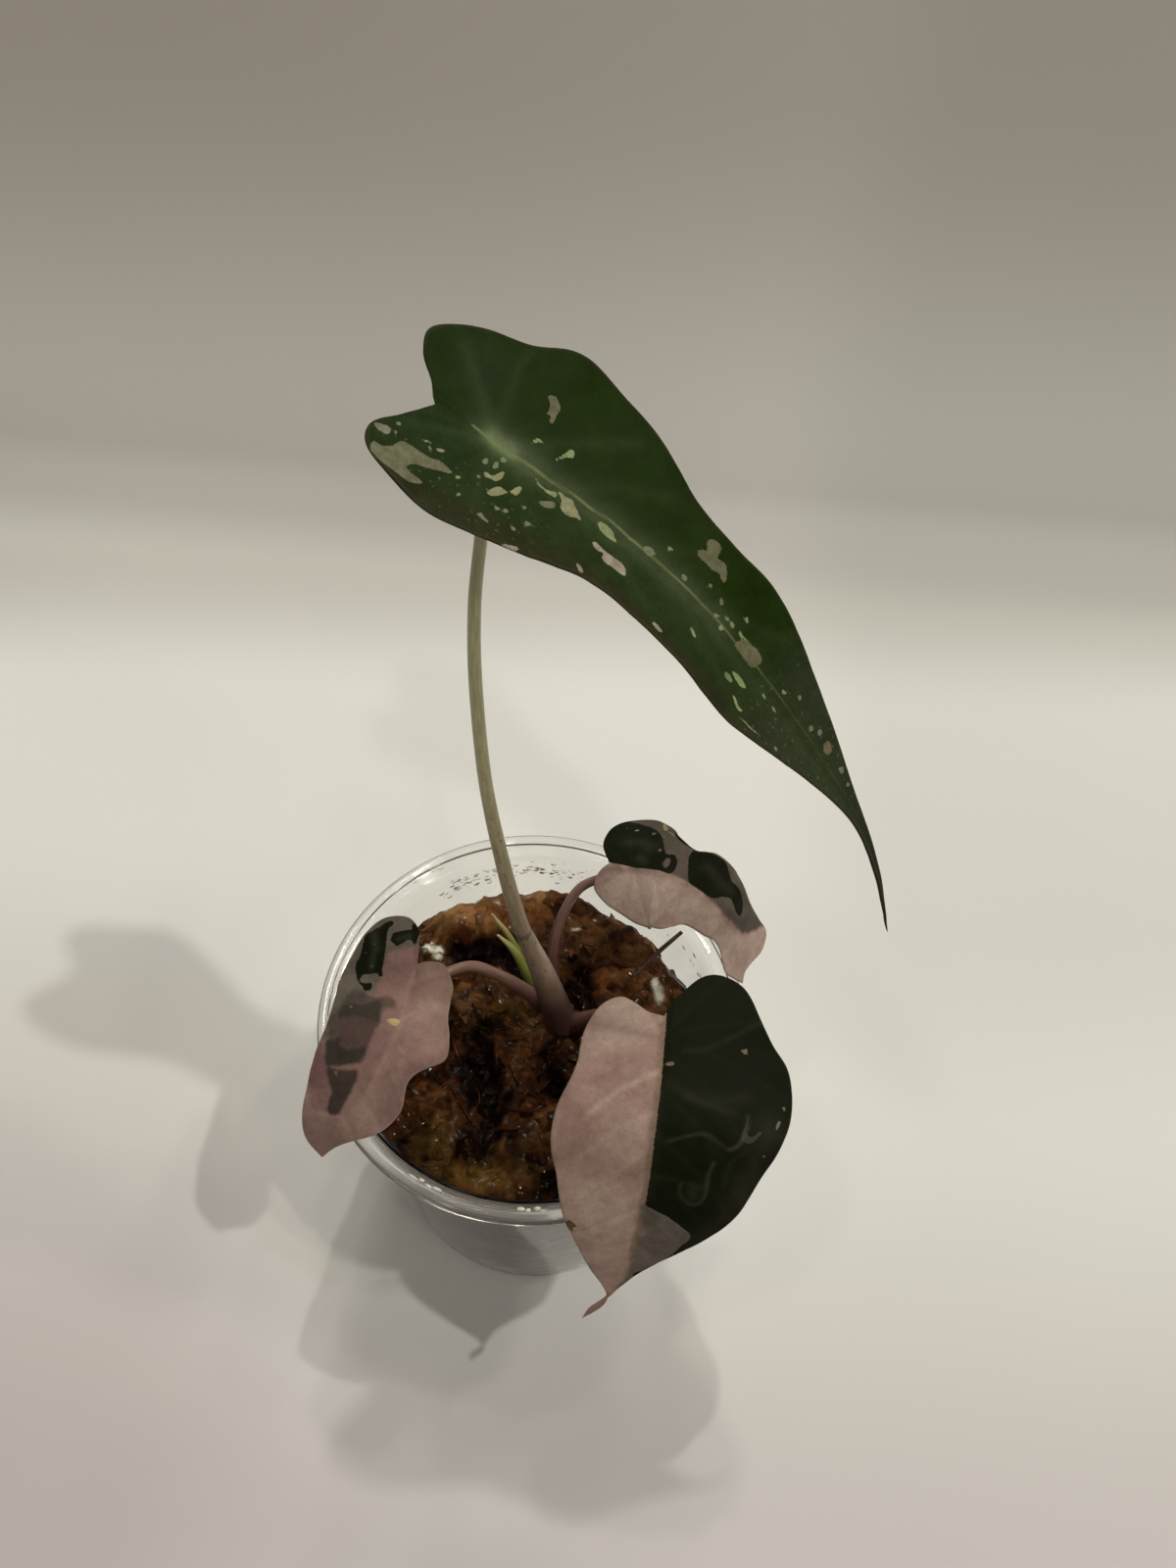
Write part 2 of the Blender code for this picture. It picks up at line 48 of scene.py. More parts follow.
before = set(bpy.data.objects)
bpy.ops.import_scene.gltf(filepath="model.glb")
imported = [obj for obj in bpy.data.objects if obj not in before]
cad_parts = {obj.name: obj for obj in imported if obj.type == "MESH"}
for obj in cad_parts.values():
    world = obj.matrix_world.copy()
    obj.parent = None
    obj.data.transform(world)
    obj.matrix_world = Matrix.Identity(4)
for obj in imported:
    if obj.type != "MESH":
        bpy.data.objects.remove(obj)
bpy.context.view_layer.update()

MM = 0.001

# Cup
RIM_RADIUS = 37.0
WALL_TOP_RADIUS = 33.2  # of the tapered wall, where the flat rim starts
BASE_RADIUS = 26.2
CUP_HEIGHT = 64.0
RIM_BEAD = 0.85  # radius of the section of the rim's raised border
RIDGE_RADIUS = 35.1  # where the border meets the rim's lower ledge
LEDGE_DROP = 0.7  # how far the ledge lies below the border
MOUTH_HEIGHT = 62.6  # top of the inner wall
CUP_SIDES = 200

# Moss
MOSS_LEVEL = 56.0
CROWN = (4.8, 5.2)
MOSS_SIDES = 360
MOSS_RINGS = 110
MOSS_COURSES = 46

# Blades
EDGE_ROUND = 0.5  # width of the rounded margin
WAVE_LENGTH = 13.0
WAVE_REACH = 14.0
FAR = 4.0  # distances to a marking's edge are kept up to this
CREASE = 1.2  # half the width over which the two halves of a blade meet
VEIN_REACH = 22.0  # how far the side veins run across a blade
LOBE_VEIN_REACH = 20.0

# Camera, in the frame of the cup
CAMERA_PLACE = (8.2, -120.4, 310.4)
CAMERA_PITCH = 55.55
CAMERA_ROLL = 2.18
CAMERA_LENS = 36.0
SENSOR = 36.0

# Linear colours of the grounds and markings
MARK_COLOURS = {
    "ash": (0.150, 0.148, 0.090),
    "pale_ash": (0.195, 0.190, 0.138),
    "beige": (0.135, 0.134, 0.074),
    "bone": (0.255, 0.250, 0.145),
    "pink": (0.300, 0.258, 0.200),
    "lime": (0.235, 0.280, 0.135),
    "leek": (0.160, 0.200, 0.105),
    "cream": (0.480, 0.380, 0.180),
    "gold": (0.290, 0.260, 0.150),
    "olive": (0.110, 0.080, 0.030),
    "tan": (0.170, 0.135, 0.085),
    "green": (0.0125, 0.0245, 0.0028),
    "leaf_green": (0.0130, 0.0260, 0.0020),
    # The next two greens are painted sheen: the tall leaf's green made greyer and bluer where its
    # lower half and its lobes catch the light.
    "painted_sheen_green": (0.0220, 0.0360, 0.0110),
    "painted_sheen_blue_green": (0.0200, 0.0340, 0.0125),
    "brown_green": (0.0270, 0.0270, 0.0115),
    "night_green": (0.0200, 0.0300, 0.0125),
    "rose": (0.330, 0.215, 0.185),
    "pale_rose": (0.420, 0.310, 0.260),
    "deep_rose": (0.280, 0.165, 0.145),
    # The left leaf's rose is the front leaf's pink painted darker, as painted shade; the back leaf's
    # colours below are pinks painted lighter than the front leaf's, as painted light.
    "shaded_left_rose": (0.245, 0.145, 0.130),
    "mauve": (0.190, 0.095, 0.098),
    "lit_back_rose": (0.500, 0.370, 0.320),
    "lit_back_pale": (0.590, 0.440, 0.380),
    "lit_back_low": (0.370, 0.270, 0.230),
    "lit_back_mauve": (0.360, 0.220, 0.195),
    "earth": (0.180, 0.125, 0.085),
    "brown": (0.165, 0.085, 0.060),
    "smoke": (0.080, 0.066, 0.054),
    "haze": (0.130, 0.110, 0.092),
    "dark_smoke": (0.044, 0.036, 0.027),
    "pale_smoke": (0.145, 0.118, 0.098),
    "sage": (0.125, 0.112, 0.086),
    "plum": (0.100, 0.062, 0.054),
    "scar": (0.055, 0.050, 0.033),
    "tail": (0.270, 0.150, 0.125),
}


@dataclass
class Leaf:
    """One leaf blade in flat coordinates: distance along the midrib from the stalk, and across.

    pose has a row for each midrib point: x, y, z, the compass angle that the left half points
    to, the rise of the right half, the rise of the left half, and the bend towards the margin.
    rib is the midrib's path. ground is the colour under everything else. A wash is a colour, its
    amount, its soft width and an outline. A line is a colour, its amount, its width and a path,
    and the overlays are the same over the dark areas, some of them painted highlights. patches
    are pairs of a colour name and an outline. dark is a list of outlines, and the holes are
    taken out of them.
    """

    pose: list
    sinus: tuple
    left_edge: list
    right_edge: list
    wave: float
    rows: int
    columns: int
    vein_starts: list
    lobe_veins: list
    rib: list
    ground: str
    washes: list = field(default_factory=list)
    lines: list = field(default_factory=list)
    overlays_and_highlights: list = field(default_factory=list)
    patches: list = field(default_factory=list)
    dark: list = field(default_factory=list)
    dark_holes: list = field(default_factory=list)


def spot(u, v, size=0.35, stretch=1.0):
    """The outline of a small uneven fleck."""
    outline = []
    for k in range(7):
        turn = 2 * pi * k / 7
        reach = size * (1 + 0.35 * sin(3.1 * k + 5 * u))
        outline.append((u + stretch * reach * cos(turn), v + reach * sin(turn)))
    return outline


TALL_LEAF = Leaf(
    pose=[
        (-3.5, 8, 189, 62, 12, 12, 0.004),
        (9.5, 1.2, 182.5, 62, 14, 14, 0.005),
        (18.5, -3.6, 177, 62, 14, 14, 0.006),
        (25.5, -7.5, 170.5, 62, 14, 14, 0.006),
        (34.5, -12.3, 160, 62, 16, 16, 0.006),
        (41, -15.7, 151.5, 62, 18, 18, 0.006),
        (44.5, -17.5, 143.5, 62, 20, 20, 0.004),
        (48, -19.3, 131.5, 62, 20, 20, 0),
    ],
    sinus=(-7.5, -1.2),
    left_edge=[
        (-9.8, 1.4), (-12.4, 3.4), (-13.3, 6.6), (-9, 10.5), (-3.8, 12.9), (0, 15.4),
        (3.8, 16.1), (8.7, 15.3), (17, 12.4), (22.5, 10.2), (28, 9.4), (34.5, 9.9), (42, 8),
        (53.7, 4.2), (60.7, 1.9), (66.5, 0.9), (75, 0.5), (85.5, 0),
    ],
    right_edge=[
        (-9.4, -6), (-11, -10), (-8.6, -13.3), (-1.2, -14.5), (5.2, -13.3), (12.9, -10),
        (18, -8.3), (25, -7.9), (36, -8.4), (42, -7.6), (52.4, -3.8), (60.7, -1.4),
        (66.5, -0.8), (75, -0.5), (85.5, 0),
    ],
    wave=0.3,
    rows=300,
    columns=46,
    vein_starts=[2.5, 7, 12, 17.5, 23, 28.5, 34, 40, 46, 52],
    lobe_veins=[75, 105, 135, 158],
    rib=[
        (-3, -0.2), (0, 0), (5.3, 0.4), (12, 0.9), (18, 1.1), (28, 1), (40, 1.2), (52, 1),
        (62, 0.4), (70, 0),
    ],
    ground="green",
    washes=[
        ("leaf_green", 0.9, 2.5, [(-3, 10), (6, 11.5), (16, 9.5), (24, 8), (34, 6), (30, 2.5),
         (18, 3), (6, 4), (-2, 6)]),
        # The greyer and bluer green washes on the lower half and the lobes are painted sheen.
        ("painted_sheen_green", 0.9, 1.4, [(-12, -6), (-8, -14), (4, -15), (14, -11), (26, -10), (42, -9),
         (58, -3), (66, 0), (52, 0.6), (30, 0.6), (12, 0.4), (0, -0.4), (-8, -1.5)]),
        ("painted_sheen_blue_green", 0.8, 2.5, [(-11, -9), (-9, -2), (-3, -1.5), (-1, -4), (-4, -9)]),
        ("brown_green", 0.85, 1.6, [(-9, -12), (-4, -12.5), (3, -10), (10, -8.5), (18, -6.5),
         (28, -6.5), (38, -6.5), (40, -9), (24, -10), (10, -13), (0, -16), (-8, -15)]),
        ("painted_sheen_blue_green", 0.55, 2, [(-8, 4), (-4, 2), (-4, 8), (-9, 10)]),
        ("night_green", 0.7, 2.2, [(44, 8), (42, 3), (56, 2), (64, 0), (60, 3)]),
        ("brown_green", 0.8, 1.5, [(42, -9), (42, -3.5), (56, -1.5), (64, -0.5), (56, -4)]),
    ],
    overlays_and_highlights=[
        ("leek", 0.95, 1, [(-0.6, 0.2), (0.6, 0.1), (2, 0.2)]),
        ("leek", 0.2, 2.2, [(-1.5, 0.2), (0.5, 0.1), (4, 0.2)]),
        ("leek", 0.17, 1.5, [(2, 0.2), (8, 0.5), (14, 0.8), (24, 0.9), (33, 1)]),
        ("leek", 0.07, 2.6, [(2, 0), (14, 0.4), (30, 0.6), (46, 0.9), (56, 0.7)]),
        ("leek", 0.06, 0.8, [(-0.7, 0.3), (-2.8, 2.4), (-6.2, 4.9), (-9.1, 6.8)]),
        ("leek", 0.06, 0.7, [(-0.5, 0.5), (-1.6, 4.5), (-3, 8.9), (-3.3, 11.6)]),
        ("leek", 0.05, 0.8, [(2, 0.7), (5.5, 4.6), (9.4, 8.2), (12.5, 11)]),
        ("leek", 0.04, 0.8, [(9.5, 0.9), (14, 5), (19.5, 8.6)]),
        ("leek", 0.05, 0.7, [(-0.8, -0.4), (-4, -3), (-8, -6.5)]),
        ("leek", 0.05, 0.7, [(0.5, -0.4), (1.2, -5), (3, -10)]),
        ("leek", 0.04, 0.7, [(20.7, 1.3), (22.5, 3.3), (26.3, 5.8)]),
        ("leek", 0.04, 0.8, [(31, 1.1), (35, 3.8), (40, 6.3)]),
        ("leek", 0.04, 0.8, [(14, 0.6), (18, -2.5), (24, -5.5)]),
        ("leek", 0.04, 0.8, [(25, 0.7), (30, -2.5), (36, -5)]),
    ],
    patches=[
        ("ash", [(-9.4, -11.6), (-9.1, -12.8), (-7.5, -13.4), (-5.7, -13.3), (-4.4, -13.2),
         (-3.5, -12.8), (-2.7, -11.7), (-4.3, -11.9), (-5.1, -11.6), (-4.7, -10.6),
         (-3.8, -10), (-2.5, -9.1), (-1.1, -8), (-2.9, -7.8), (-3.9, -8.4), (-6.2, -8.8),
         (-7.4, -9.3), (-7.6, -10.6), (-8.5, -11.6)]),
        ("pale_ash", [(-10.7, -9.5), (-9.8, -8.9), (-9, -8.7), (-8.8, -9.7), (-9.9, -10)]),
        ("beige", [(1.3, 8.5), (1.9, 9.1), (2.6, 8.9), (3.3, 8.3), (3.4, 7.3), (3.7, 6.2),
         (3.2, 6), (3, 6.8), (2.5, 6.6), (2.3, 7.5), (1.9, 8.1)]),
        ("lime", [(3.1, 2.6), (3.3, 3.5), (3.9, 3.6), (4.5, 3.5), (3.8, 3.2), (3.4, 2.8)]),
        ("lime", [(6.1, 2.3), (6.4, 3.1), (6.7, 4), (7, 5.1), (7.5, 5), (7.8, 4.3),
         (7.3, 4), (6.7, 3)]),
        ("leek", [(0.4, -3.9), (0.5, -2.9), (0.9, -3.2), (0.9, -3.8)]),
        ("leek", [(1.6, -3.5), (1.5, -2.3), (2.1, -2.9), (2, -3.5)]),
        ("leek", [(1.7, -1.7), (1.8, -1.1), (2.4, -1.3), (2.1, -2)]),
        ("bone", [(1.3, -5), (1.6, -4.7), (2.2, -4.7), (2.6, -3.8), (2.9, -2.9), (3.2, -4),
         (3, -5), (2.4, -5.2), (1.7, -5.4)]),
        ("bone", [(3, -7.4), (3.2, -6.2), (3.7, -5.4), (4.6, -5.3), (4.9, -4.4), (5.1, -3.5),
         (5.5, -3.3), (5.7, -4.5), (5.4, -5), (4.8, -5.2), (4.4, -6.2), (3.8, -7.2)]),
        ("lime", [(5.7, -0.3), (6.4, -0.8), (7.2, -1), (7.9, -0.8), (8.7, -0.3), (9, -1.1),
         (8.2, -1.3), (7.4, -1.3), (6.6, -1.3)]),
        ("ash", [(7.9, -3.4), (8.4, -2.6), (9.2, -1.9), (9.6, -2.6), (9.1, -3.3), (8.3, -3.7)]),
        ("bone", [(8.8, 0.1), (9.7, 0.1), (10.6, 0.3), (11.2, -0.2), (11.9, -0.7), (12.7, -1.5),
         (12, -1.8), (11.4, -2.3), (10.7, -2.4), (10, -1.9), (9.7, -0.9)]),
        ("pink", [(7.7, -12.2), (8.6, -11.4), (9.3, -11), (9.4, -11.5), (8.6, -11.9)]),
        ("bone", [(-6, -7.1), (-5.3, -6.5), (-4.9, -6.5), (-5.3, -6.9)]),
        ("bone", [(-4.1, -6.7), (-3.4, -6.1), (-3.3, -6.5), (-3.8, -6.9)]),
        ("pink", [(15.1, -7.6), (15.7, -7.5), (16.3, -8), (16, -8.4), (15.5, -8)]),
        ("lime", [(14.3, 0.1), (15.1, 0.4), (16.2, 0.3), (17.3, -0.5), (16.8, -0.8), (15.9, -1),
         (15, -0.8)]),
        ("pink", [(15.1, -3.2), (15.6, -2.9), (16.6, -3.1), (17.9, -3), (19.1, -2.8),
         (19.8, -3.2), (20.2, -4.1), (19.4, -4.4), (18.6, -4.4), (17.8, -4.6), (17, -4.4),
         (16.8, -3.6), (15.9, -3.8)]),
        ("beige", [(25.1, 7.2), (25.6, 7.9), (26.7, 7.9), (27, 7.2), (27.1, 6.5), (28.1, 6.7),
         (28.8, 6.2), (29.5, 5.1), (29.1, 4.7), (28.4, 5.2), (27.4, 4.9), (26.5, 5.1),
         (25.5, 5), (25, 5.3), (25.2, 5.9), (25.7, 6.3)]),
        ("beige", [(35.1, 0.9), (35.9, 2.4), (36.9, 2.4), (37.6, 2.6), (39, 2.1), (38.8, 0.9),
         (38.1, 0.5), (37, 0.6), (36.3, 0.6)]),
        ("lime", [(34.3, 2.4), (35.2, 2.4), (35.8, 2.3), (35, 2)]),
        ("leek", [(19.9, 1.1), (20.4, 1.7), (21.4, 1.7), (21.4, 1.2), (20.8, 0.8)]),
        ("leek", [(25.2, 1.9), (25.7, 2.1), (26.1, 1.8), (25.7, 1.4)]),
        ("tan", [(30.3, 3.1), (30.4, 3.4), (31, 3), (30.8, 2.6)]),
        ("pink", [(25.5, -6.7), (26, -6.4), (27.2, -6.6), (26.5, -7)]),
        ("lime", [(29.4, -2.9), (29.9, -2.7), (30.8, -3.4), (30.1, -3.4)]),
        ("leek", [(35.9, -3.9), (36, -3.2), (36.8, -3.2), (37.3, -3.6), (36.7, -4)]),
        ("lime", [(36.6, -2.5), (37.4, -2), (38.4, -2), (39.2, -2.3), (38.4, -3)]),
        ("lime", [(38.1, -5), (38.6, -4.9), (39.4, -5.4), (40.2, -5.4), (39.5, -5.9)]),
        ("lime", [(39.8, -6.5), (40.9, -6.3), (42.3, -6.1), (43.8, -5.7), (42.3, -6.3)]),
        ("tan", [(52.5, 2.4), (52.8, 3), (53.9, 2.7), (53.9, 1.8), (53, 1.8)]),
        *[("pale_ash", spot(u, v, size)) for u, v, size in [(7.1, -5.7, 0.3), (8.5, -7.4, 0.4),
         (4.9, -8.5, 0.35), (5.8, -7.9, 0.35), (4.1, -10.7, 0.4), (5, -10.9, 0.25),
         (1.2, -6.1, 0.25), (0.9, -10, 0.3), (7.6, -9.3, 0.3), (-8.8, -7.4, 0.3),
         (-8.4, -8.7, 0.25), (-4.7, -7.3, 0.25), (28.5, 3.3, 0.3), (51, 2.6, 0.4),
         (49.7, 2, 0.35), (56.7, 2.1, 0.4), (58.8, 1.6, 0.3), (46.5, -5, 0.3),
         (45.8, 3.2, 0.3)]],
        *[("lime", spot(u, v, 0.28, 1.4)) for u, v in [(-0.4, -8), (31.2, 1.3), (32.6, 0.8),
         (32.4, 2.1), (33.3, 2.1), (34.2, 4), (22.4, 3.2), (42, -0.6), (44.1, -0.6),
         (43.8, 1.9)]],
    ],
)

LEFT_LEAF = Leaf(
    pose=[
        (-19, -1.5, 77, -31, -6, -6, 0.006),
        (-21.5, -7.5, 77.2, -31, -8, -8, 0.007),
        (-24.5, -13, 76.5, -31, -10, -6, 0.007),
        (-27.5, -19, 73.5, -31, -10, -2, 0.006),
        (-30, -23.5, 69, -31, -6, 2, 0.004),
        (-33, -26, 62, -31, 0, 0, 0),
    ],
    sinus=(-3.3, -1.5),
    left_edge=[
        (-4.6, 0.3), (-5.1, 2.8), (-2.5, 5.6), (0, 6.5), (3.1, 7.5), (5.5, 9.1), (8.3, 10.5),
        (11.1, 9.2), (15.3, 7.5), (20, 8.5), (23.9, 7.3), (27.9, 3.4), (31.5, 1.3), (35.8, 0),
    ],
    right_edge=[
        (-4.4, -3.2), (-8.6, -3.8), (-11.2, -7.3), (-10, -11), (-6.7, -12.7), (-3, -13.2),
        (2.4, -12.8), (9.2, -11.6), (13.9, -10.3), (19, -9.7), (23.4, -8.9), (28.5, -7.6),
        (32.6, -5.8), (34.9, -3.6), (35.8, 0),
    ],
    wave=0.5,
    rows=170,
    columns=38,
    vein_starts=[3, 8.5, 14, 19.5, 25],
    lobe_veins=[80, 120, 150],
    rib=[(-4, -1.2), (0, -0.2), (4.2, -0.1), (8.9, 1.2), (13.6, 1.9), (23.8, 1.9), (36, 0)],
    # Its ground is the front leaf's pink painted darker: painted shade.
    ground="shaded_left_rose",
    washes=[
        ("rose", 0.8, 2.2, [(-4, 0), (-2, 5), (3, 6.5), (8, 8.5), (9, 4), (6, 1.5), (0, 1)]),
        ("rose", 0.45, 2, [(11, 4), (13, 6.5), (20, 7), (27, 3), (26, 1), (18, 3)]),
        ("deep_rose", 0.5, 2, [(6, 5), (9, 9), (12, 7.5), (10, 4)]),
        ("rose", 0.35, 0.8, [(0, -1), (4, -1.5), (8, 2.2), (14, 3.4), (20, 3.6), (19, 2.6),
         (12, 2.4), (6, 0)]),
        ("mauve", 0.75, 1.8, [(15, -12), (18, -8), (22, -7), (25, -6), (24, -9), (20, -11)]),
        ("mauve", 0.4, 2, [(22, -9), (25, -6), (30, -7), (34, -4), (30, -8)]),
        ("rose", 0.9, 4, [(22, -5), (22, 5), (30, 6), (38, 0), (34, -7), (28, -10)]),
        ("mauve", 0.6, 1.2, [(18, -12), (18.7, -9), (19.4, -6.6), (21.2, -5.4), (23, -3.9),
         (25.5, -3.4), (27.4, -5.4), (23.4, -9.5)]),
        ("sage", 0.92, 0.45, [(-10.6, -4.6), (-12.2, -6), (-12.5, -9), (-10.5, -13),
         (-6, -15), (0, -15.5), (6, -14.5), (12, -13), (15.5, -11.5), (15.6, -9.2),
         (13.2, -9.6), (11.3, -9.6), (7.5, -8.6), (5.4, -7), (4.6, -5.4), (2.6, -6),
         (1, -6.2), (-1.5, -6.8), (-3.9, -6.8), (-5.4, -5.2), (-6.4, -3.4), (-8.2, -3)]),
        ("smoke", 0.92, 0.45, [(5.2, -9.4), (4.9, -7.6), (5, -5.1), (4.5, -3.6), (4.1, -2.5),
         (5, -1.4), (5.8, -1.6), (6.6, -2.4), (7.8, -2.4), (8.9, -1.7), (10.8, -1.6),
         (13, -1.3), (15.8, -1), (16.9, -2), (18, -3.7), (19, -5.6), (19, -7.2),
         (17.6, -7.9), (15.8, -8.6), (13.9, -9.4), (12.4, -10.8), (9.2, -9.9)]),
        ("dark_smoke", 0.75, 0.4, [(10.8, -9.6), (9.2, -9.4), (8.2, -8.2), (7.7, -6.4), (6.6, -5.4),
         (5.5, -4.5), (6, -3.1), (7.5, -2.7), (8.9, -1.6), (9.4, -2.4), (9.5, -3.8),
         (10, -5.7), (10.8, -7.5), (11.5, -8.7)]),
        ("plum", 0.85, 0.35, [(11.5, -8.2), (10.8, -7.2), (9.9, -5), (9.4, -3.1), (9.6, -2),
         (10.8, -1.8), (13.3, -1.6), (14.2, -2.7), (14.8, -4.3), (14.6, -5.7), (13.9, -7),
         (12.5, -8.2)]),
        ("dark_smoke", 0.85, 0.35, [(19, -7.2), (17.6, -7.9), (15.8, -8.6), (15, -7.8),
         (15.3, -6), (15.3, -4), (14.4, -2.7), (13.4, -1.3), (15.8, -1.1), (16.9, -2),
         (18, -3.7), (18.9, -5.6)]),
        ("dark_smoke", 0.9, 0.35, [(19.6, -6), (18.6, -3.4), (17.4, -1.3), (18, -0.6),
         (20.7, -0.4), (22.6, -0.3), (24.7, -0.5), (26, -1.1), (26.6, -2.4), (25.8, -3.1),
         (24, -3.3), (22.9, -3.4), (21.4, -4.9)]),
        ("dark_smoke", 0.6, 0.3, [(14.3, -7.3), (14.4, -6.4), (15.3, -6.2), (15.3, -7.1)]),
        ("brown", 0.45, 0.8, [(4.1, -4), (4.2, -2.5), (5, -0.7), (6.5, 0.2), (6.7, -1.1),
         (5.7, -2.4)]),
    ],
    lines=[
        ("rose", 0.5, 0.35, [(6.9, 1.3), (3.6, 3.1), (1.1, 5.5)]),
        ("rose", 0.4, 0.35, [(10.5, 2.2), (11.5, 5), (12, 7.5)]),
        ("rose", 0.5, 0.35, [(13.6, 2.4), (15.2, 4.5), (18, 7.6)]),
        ("rose", 0.5, 0.35, [(18.8, 2.2), (21.5, 4.5), (24.5, 5.8)]),
        ("rose", 0.5, 0.3, [(-3, -1.4), (1, -0.8), (5, 0.4), (10, 1.9), (16, 2.3),
         (24, 2.1), (31, 1.2)]),
        ("mauve", 0.35, 0.5, [(16.8, -8.6), (19.5, -7.2), (21.8, -6)]),
    ],
    dark=[
        [(-9, -10.3), (-9.3, -9.4), (-8.8, -9.1), (-7.7, -9.4), (-6.5, -9.1), (-4.7, -8.3),
         (-2.7, -7.5), (-0.3, -6.6), (0.8, -5.9), (1.1, -6.4), (0.6, -7.2), (1, -7.7),
         (1.4, -8.7), (1.8, -9.2), (2.6, -9.2), (3.2, -8.6), (3.1, -7.8), (2.7, -7.1),
         (3.4, -6.5), (4.3, -6.6), (4.6, -7.4), (4, -8), (3.5, -8.9), (2.6, -9.8),
         (1.3, -10.8), (0.1, -11.5), (-1.1, -11.6), (-2.5, -11.9), (-4.1, -12.4), (-5.3, -12.6),
         (-6.2, -12.1), (-7, -11.5), (-7.8, -10.9)],
        [(-6, -8.1), (-7.2, -8.2), (-7.8, -7.6), (-8.2, -7), (-8.6, -6.4), (-9.1, -5.7),
         (-10, -6), (-10.4, -5.5), (-9.9, -4.6), (-9, -4), (-7.8, -3.8), (-6.8, -3.6),
         (-6.6, -3.8), (-7.1, -4.8), (-6.8, -5.4), (-6.1, -5.7), (-5.4, -6.2), (-5.1, -6.5),
         (-5.4, -7), (-5.5, -7.6)],
    ],
    overlays_and_highlights=[
        ("leek", 0.12, 0.7, [(-5.6, -11), (-3.4, -9.6)]),
        ("leek", 0.1, 0.6, [(-2.2, -9.4), (0.2, -8.4)]),
        ("leek", 0.1, 0.6, [(-7.6, -5.4), (-6.6, -6.8)]),
        ("smoke", 0.2, 0.4, [(-7.4, -11), (-5.8, -11.6)]),
    ],
    patches=[
        ("cream", [(8.2, -1), (7.4, -0.2), (7.2, 0.9), (7.7, 1.1), (8.4, 0.7), (8.4, -0.2)]),
        ("pale_smoke", spot(19.7, -4.3, 0.4)),
        ("pale_smoke", spot(8.8, -8, 0.3)),
        ("sage", spot(-4.2, -10.4, 0.25)),
        ("sage", spot(-2.4, -10.9, 0.2)),
        ("sage", spot(-0.2, -8.6, 0.3)),
        ("olive", [(21.2, 6.6), (21, 7.5), (20.6, 8.3), (20.9, 7.5)]),
        ("olive", [(20.3, 6.9), (19.8, 7.4), (19.1, 7.8), (19.7, 7.3)]),
    ],
)

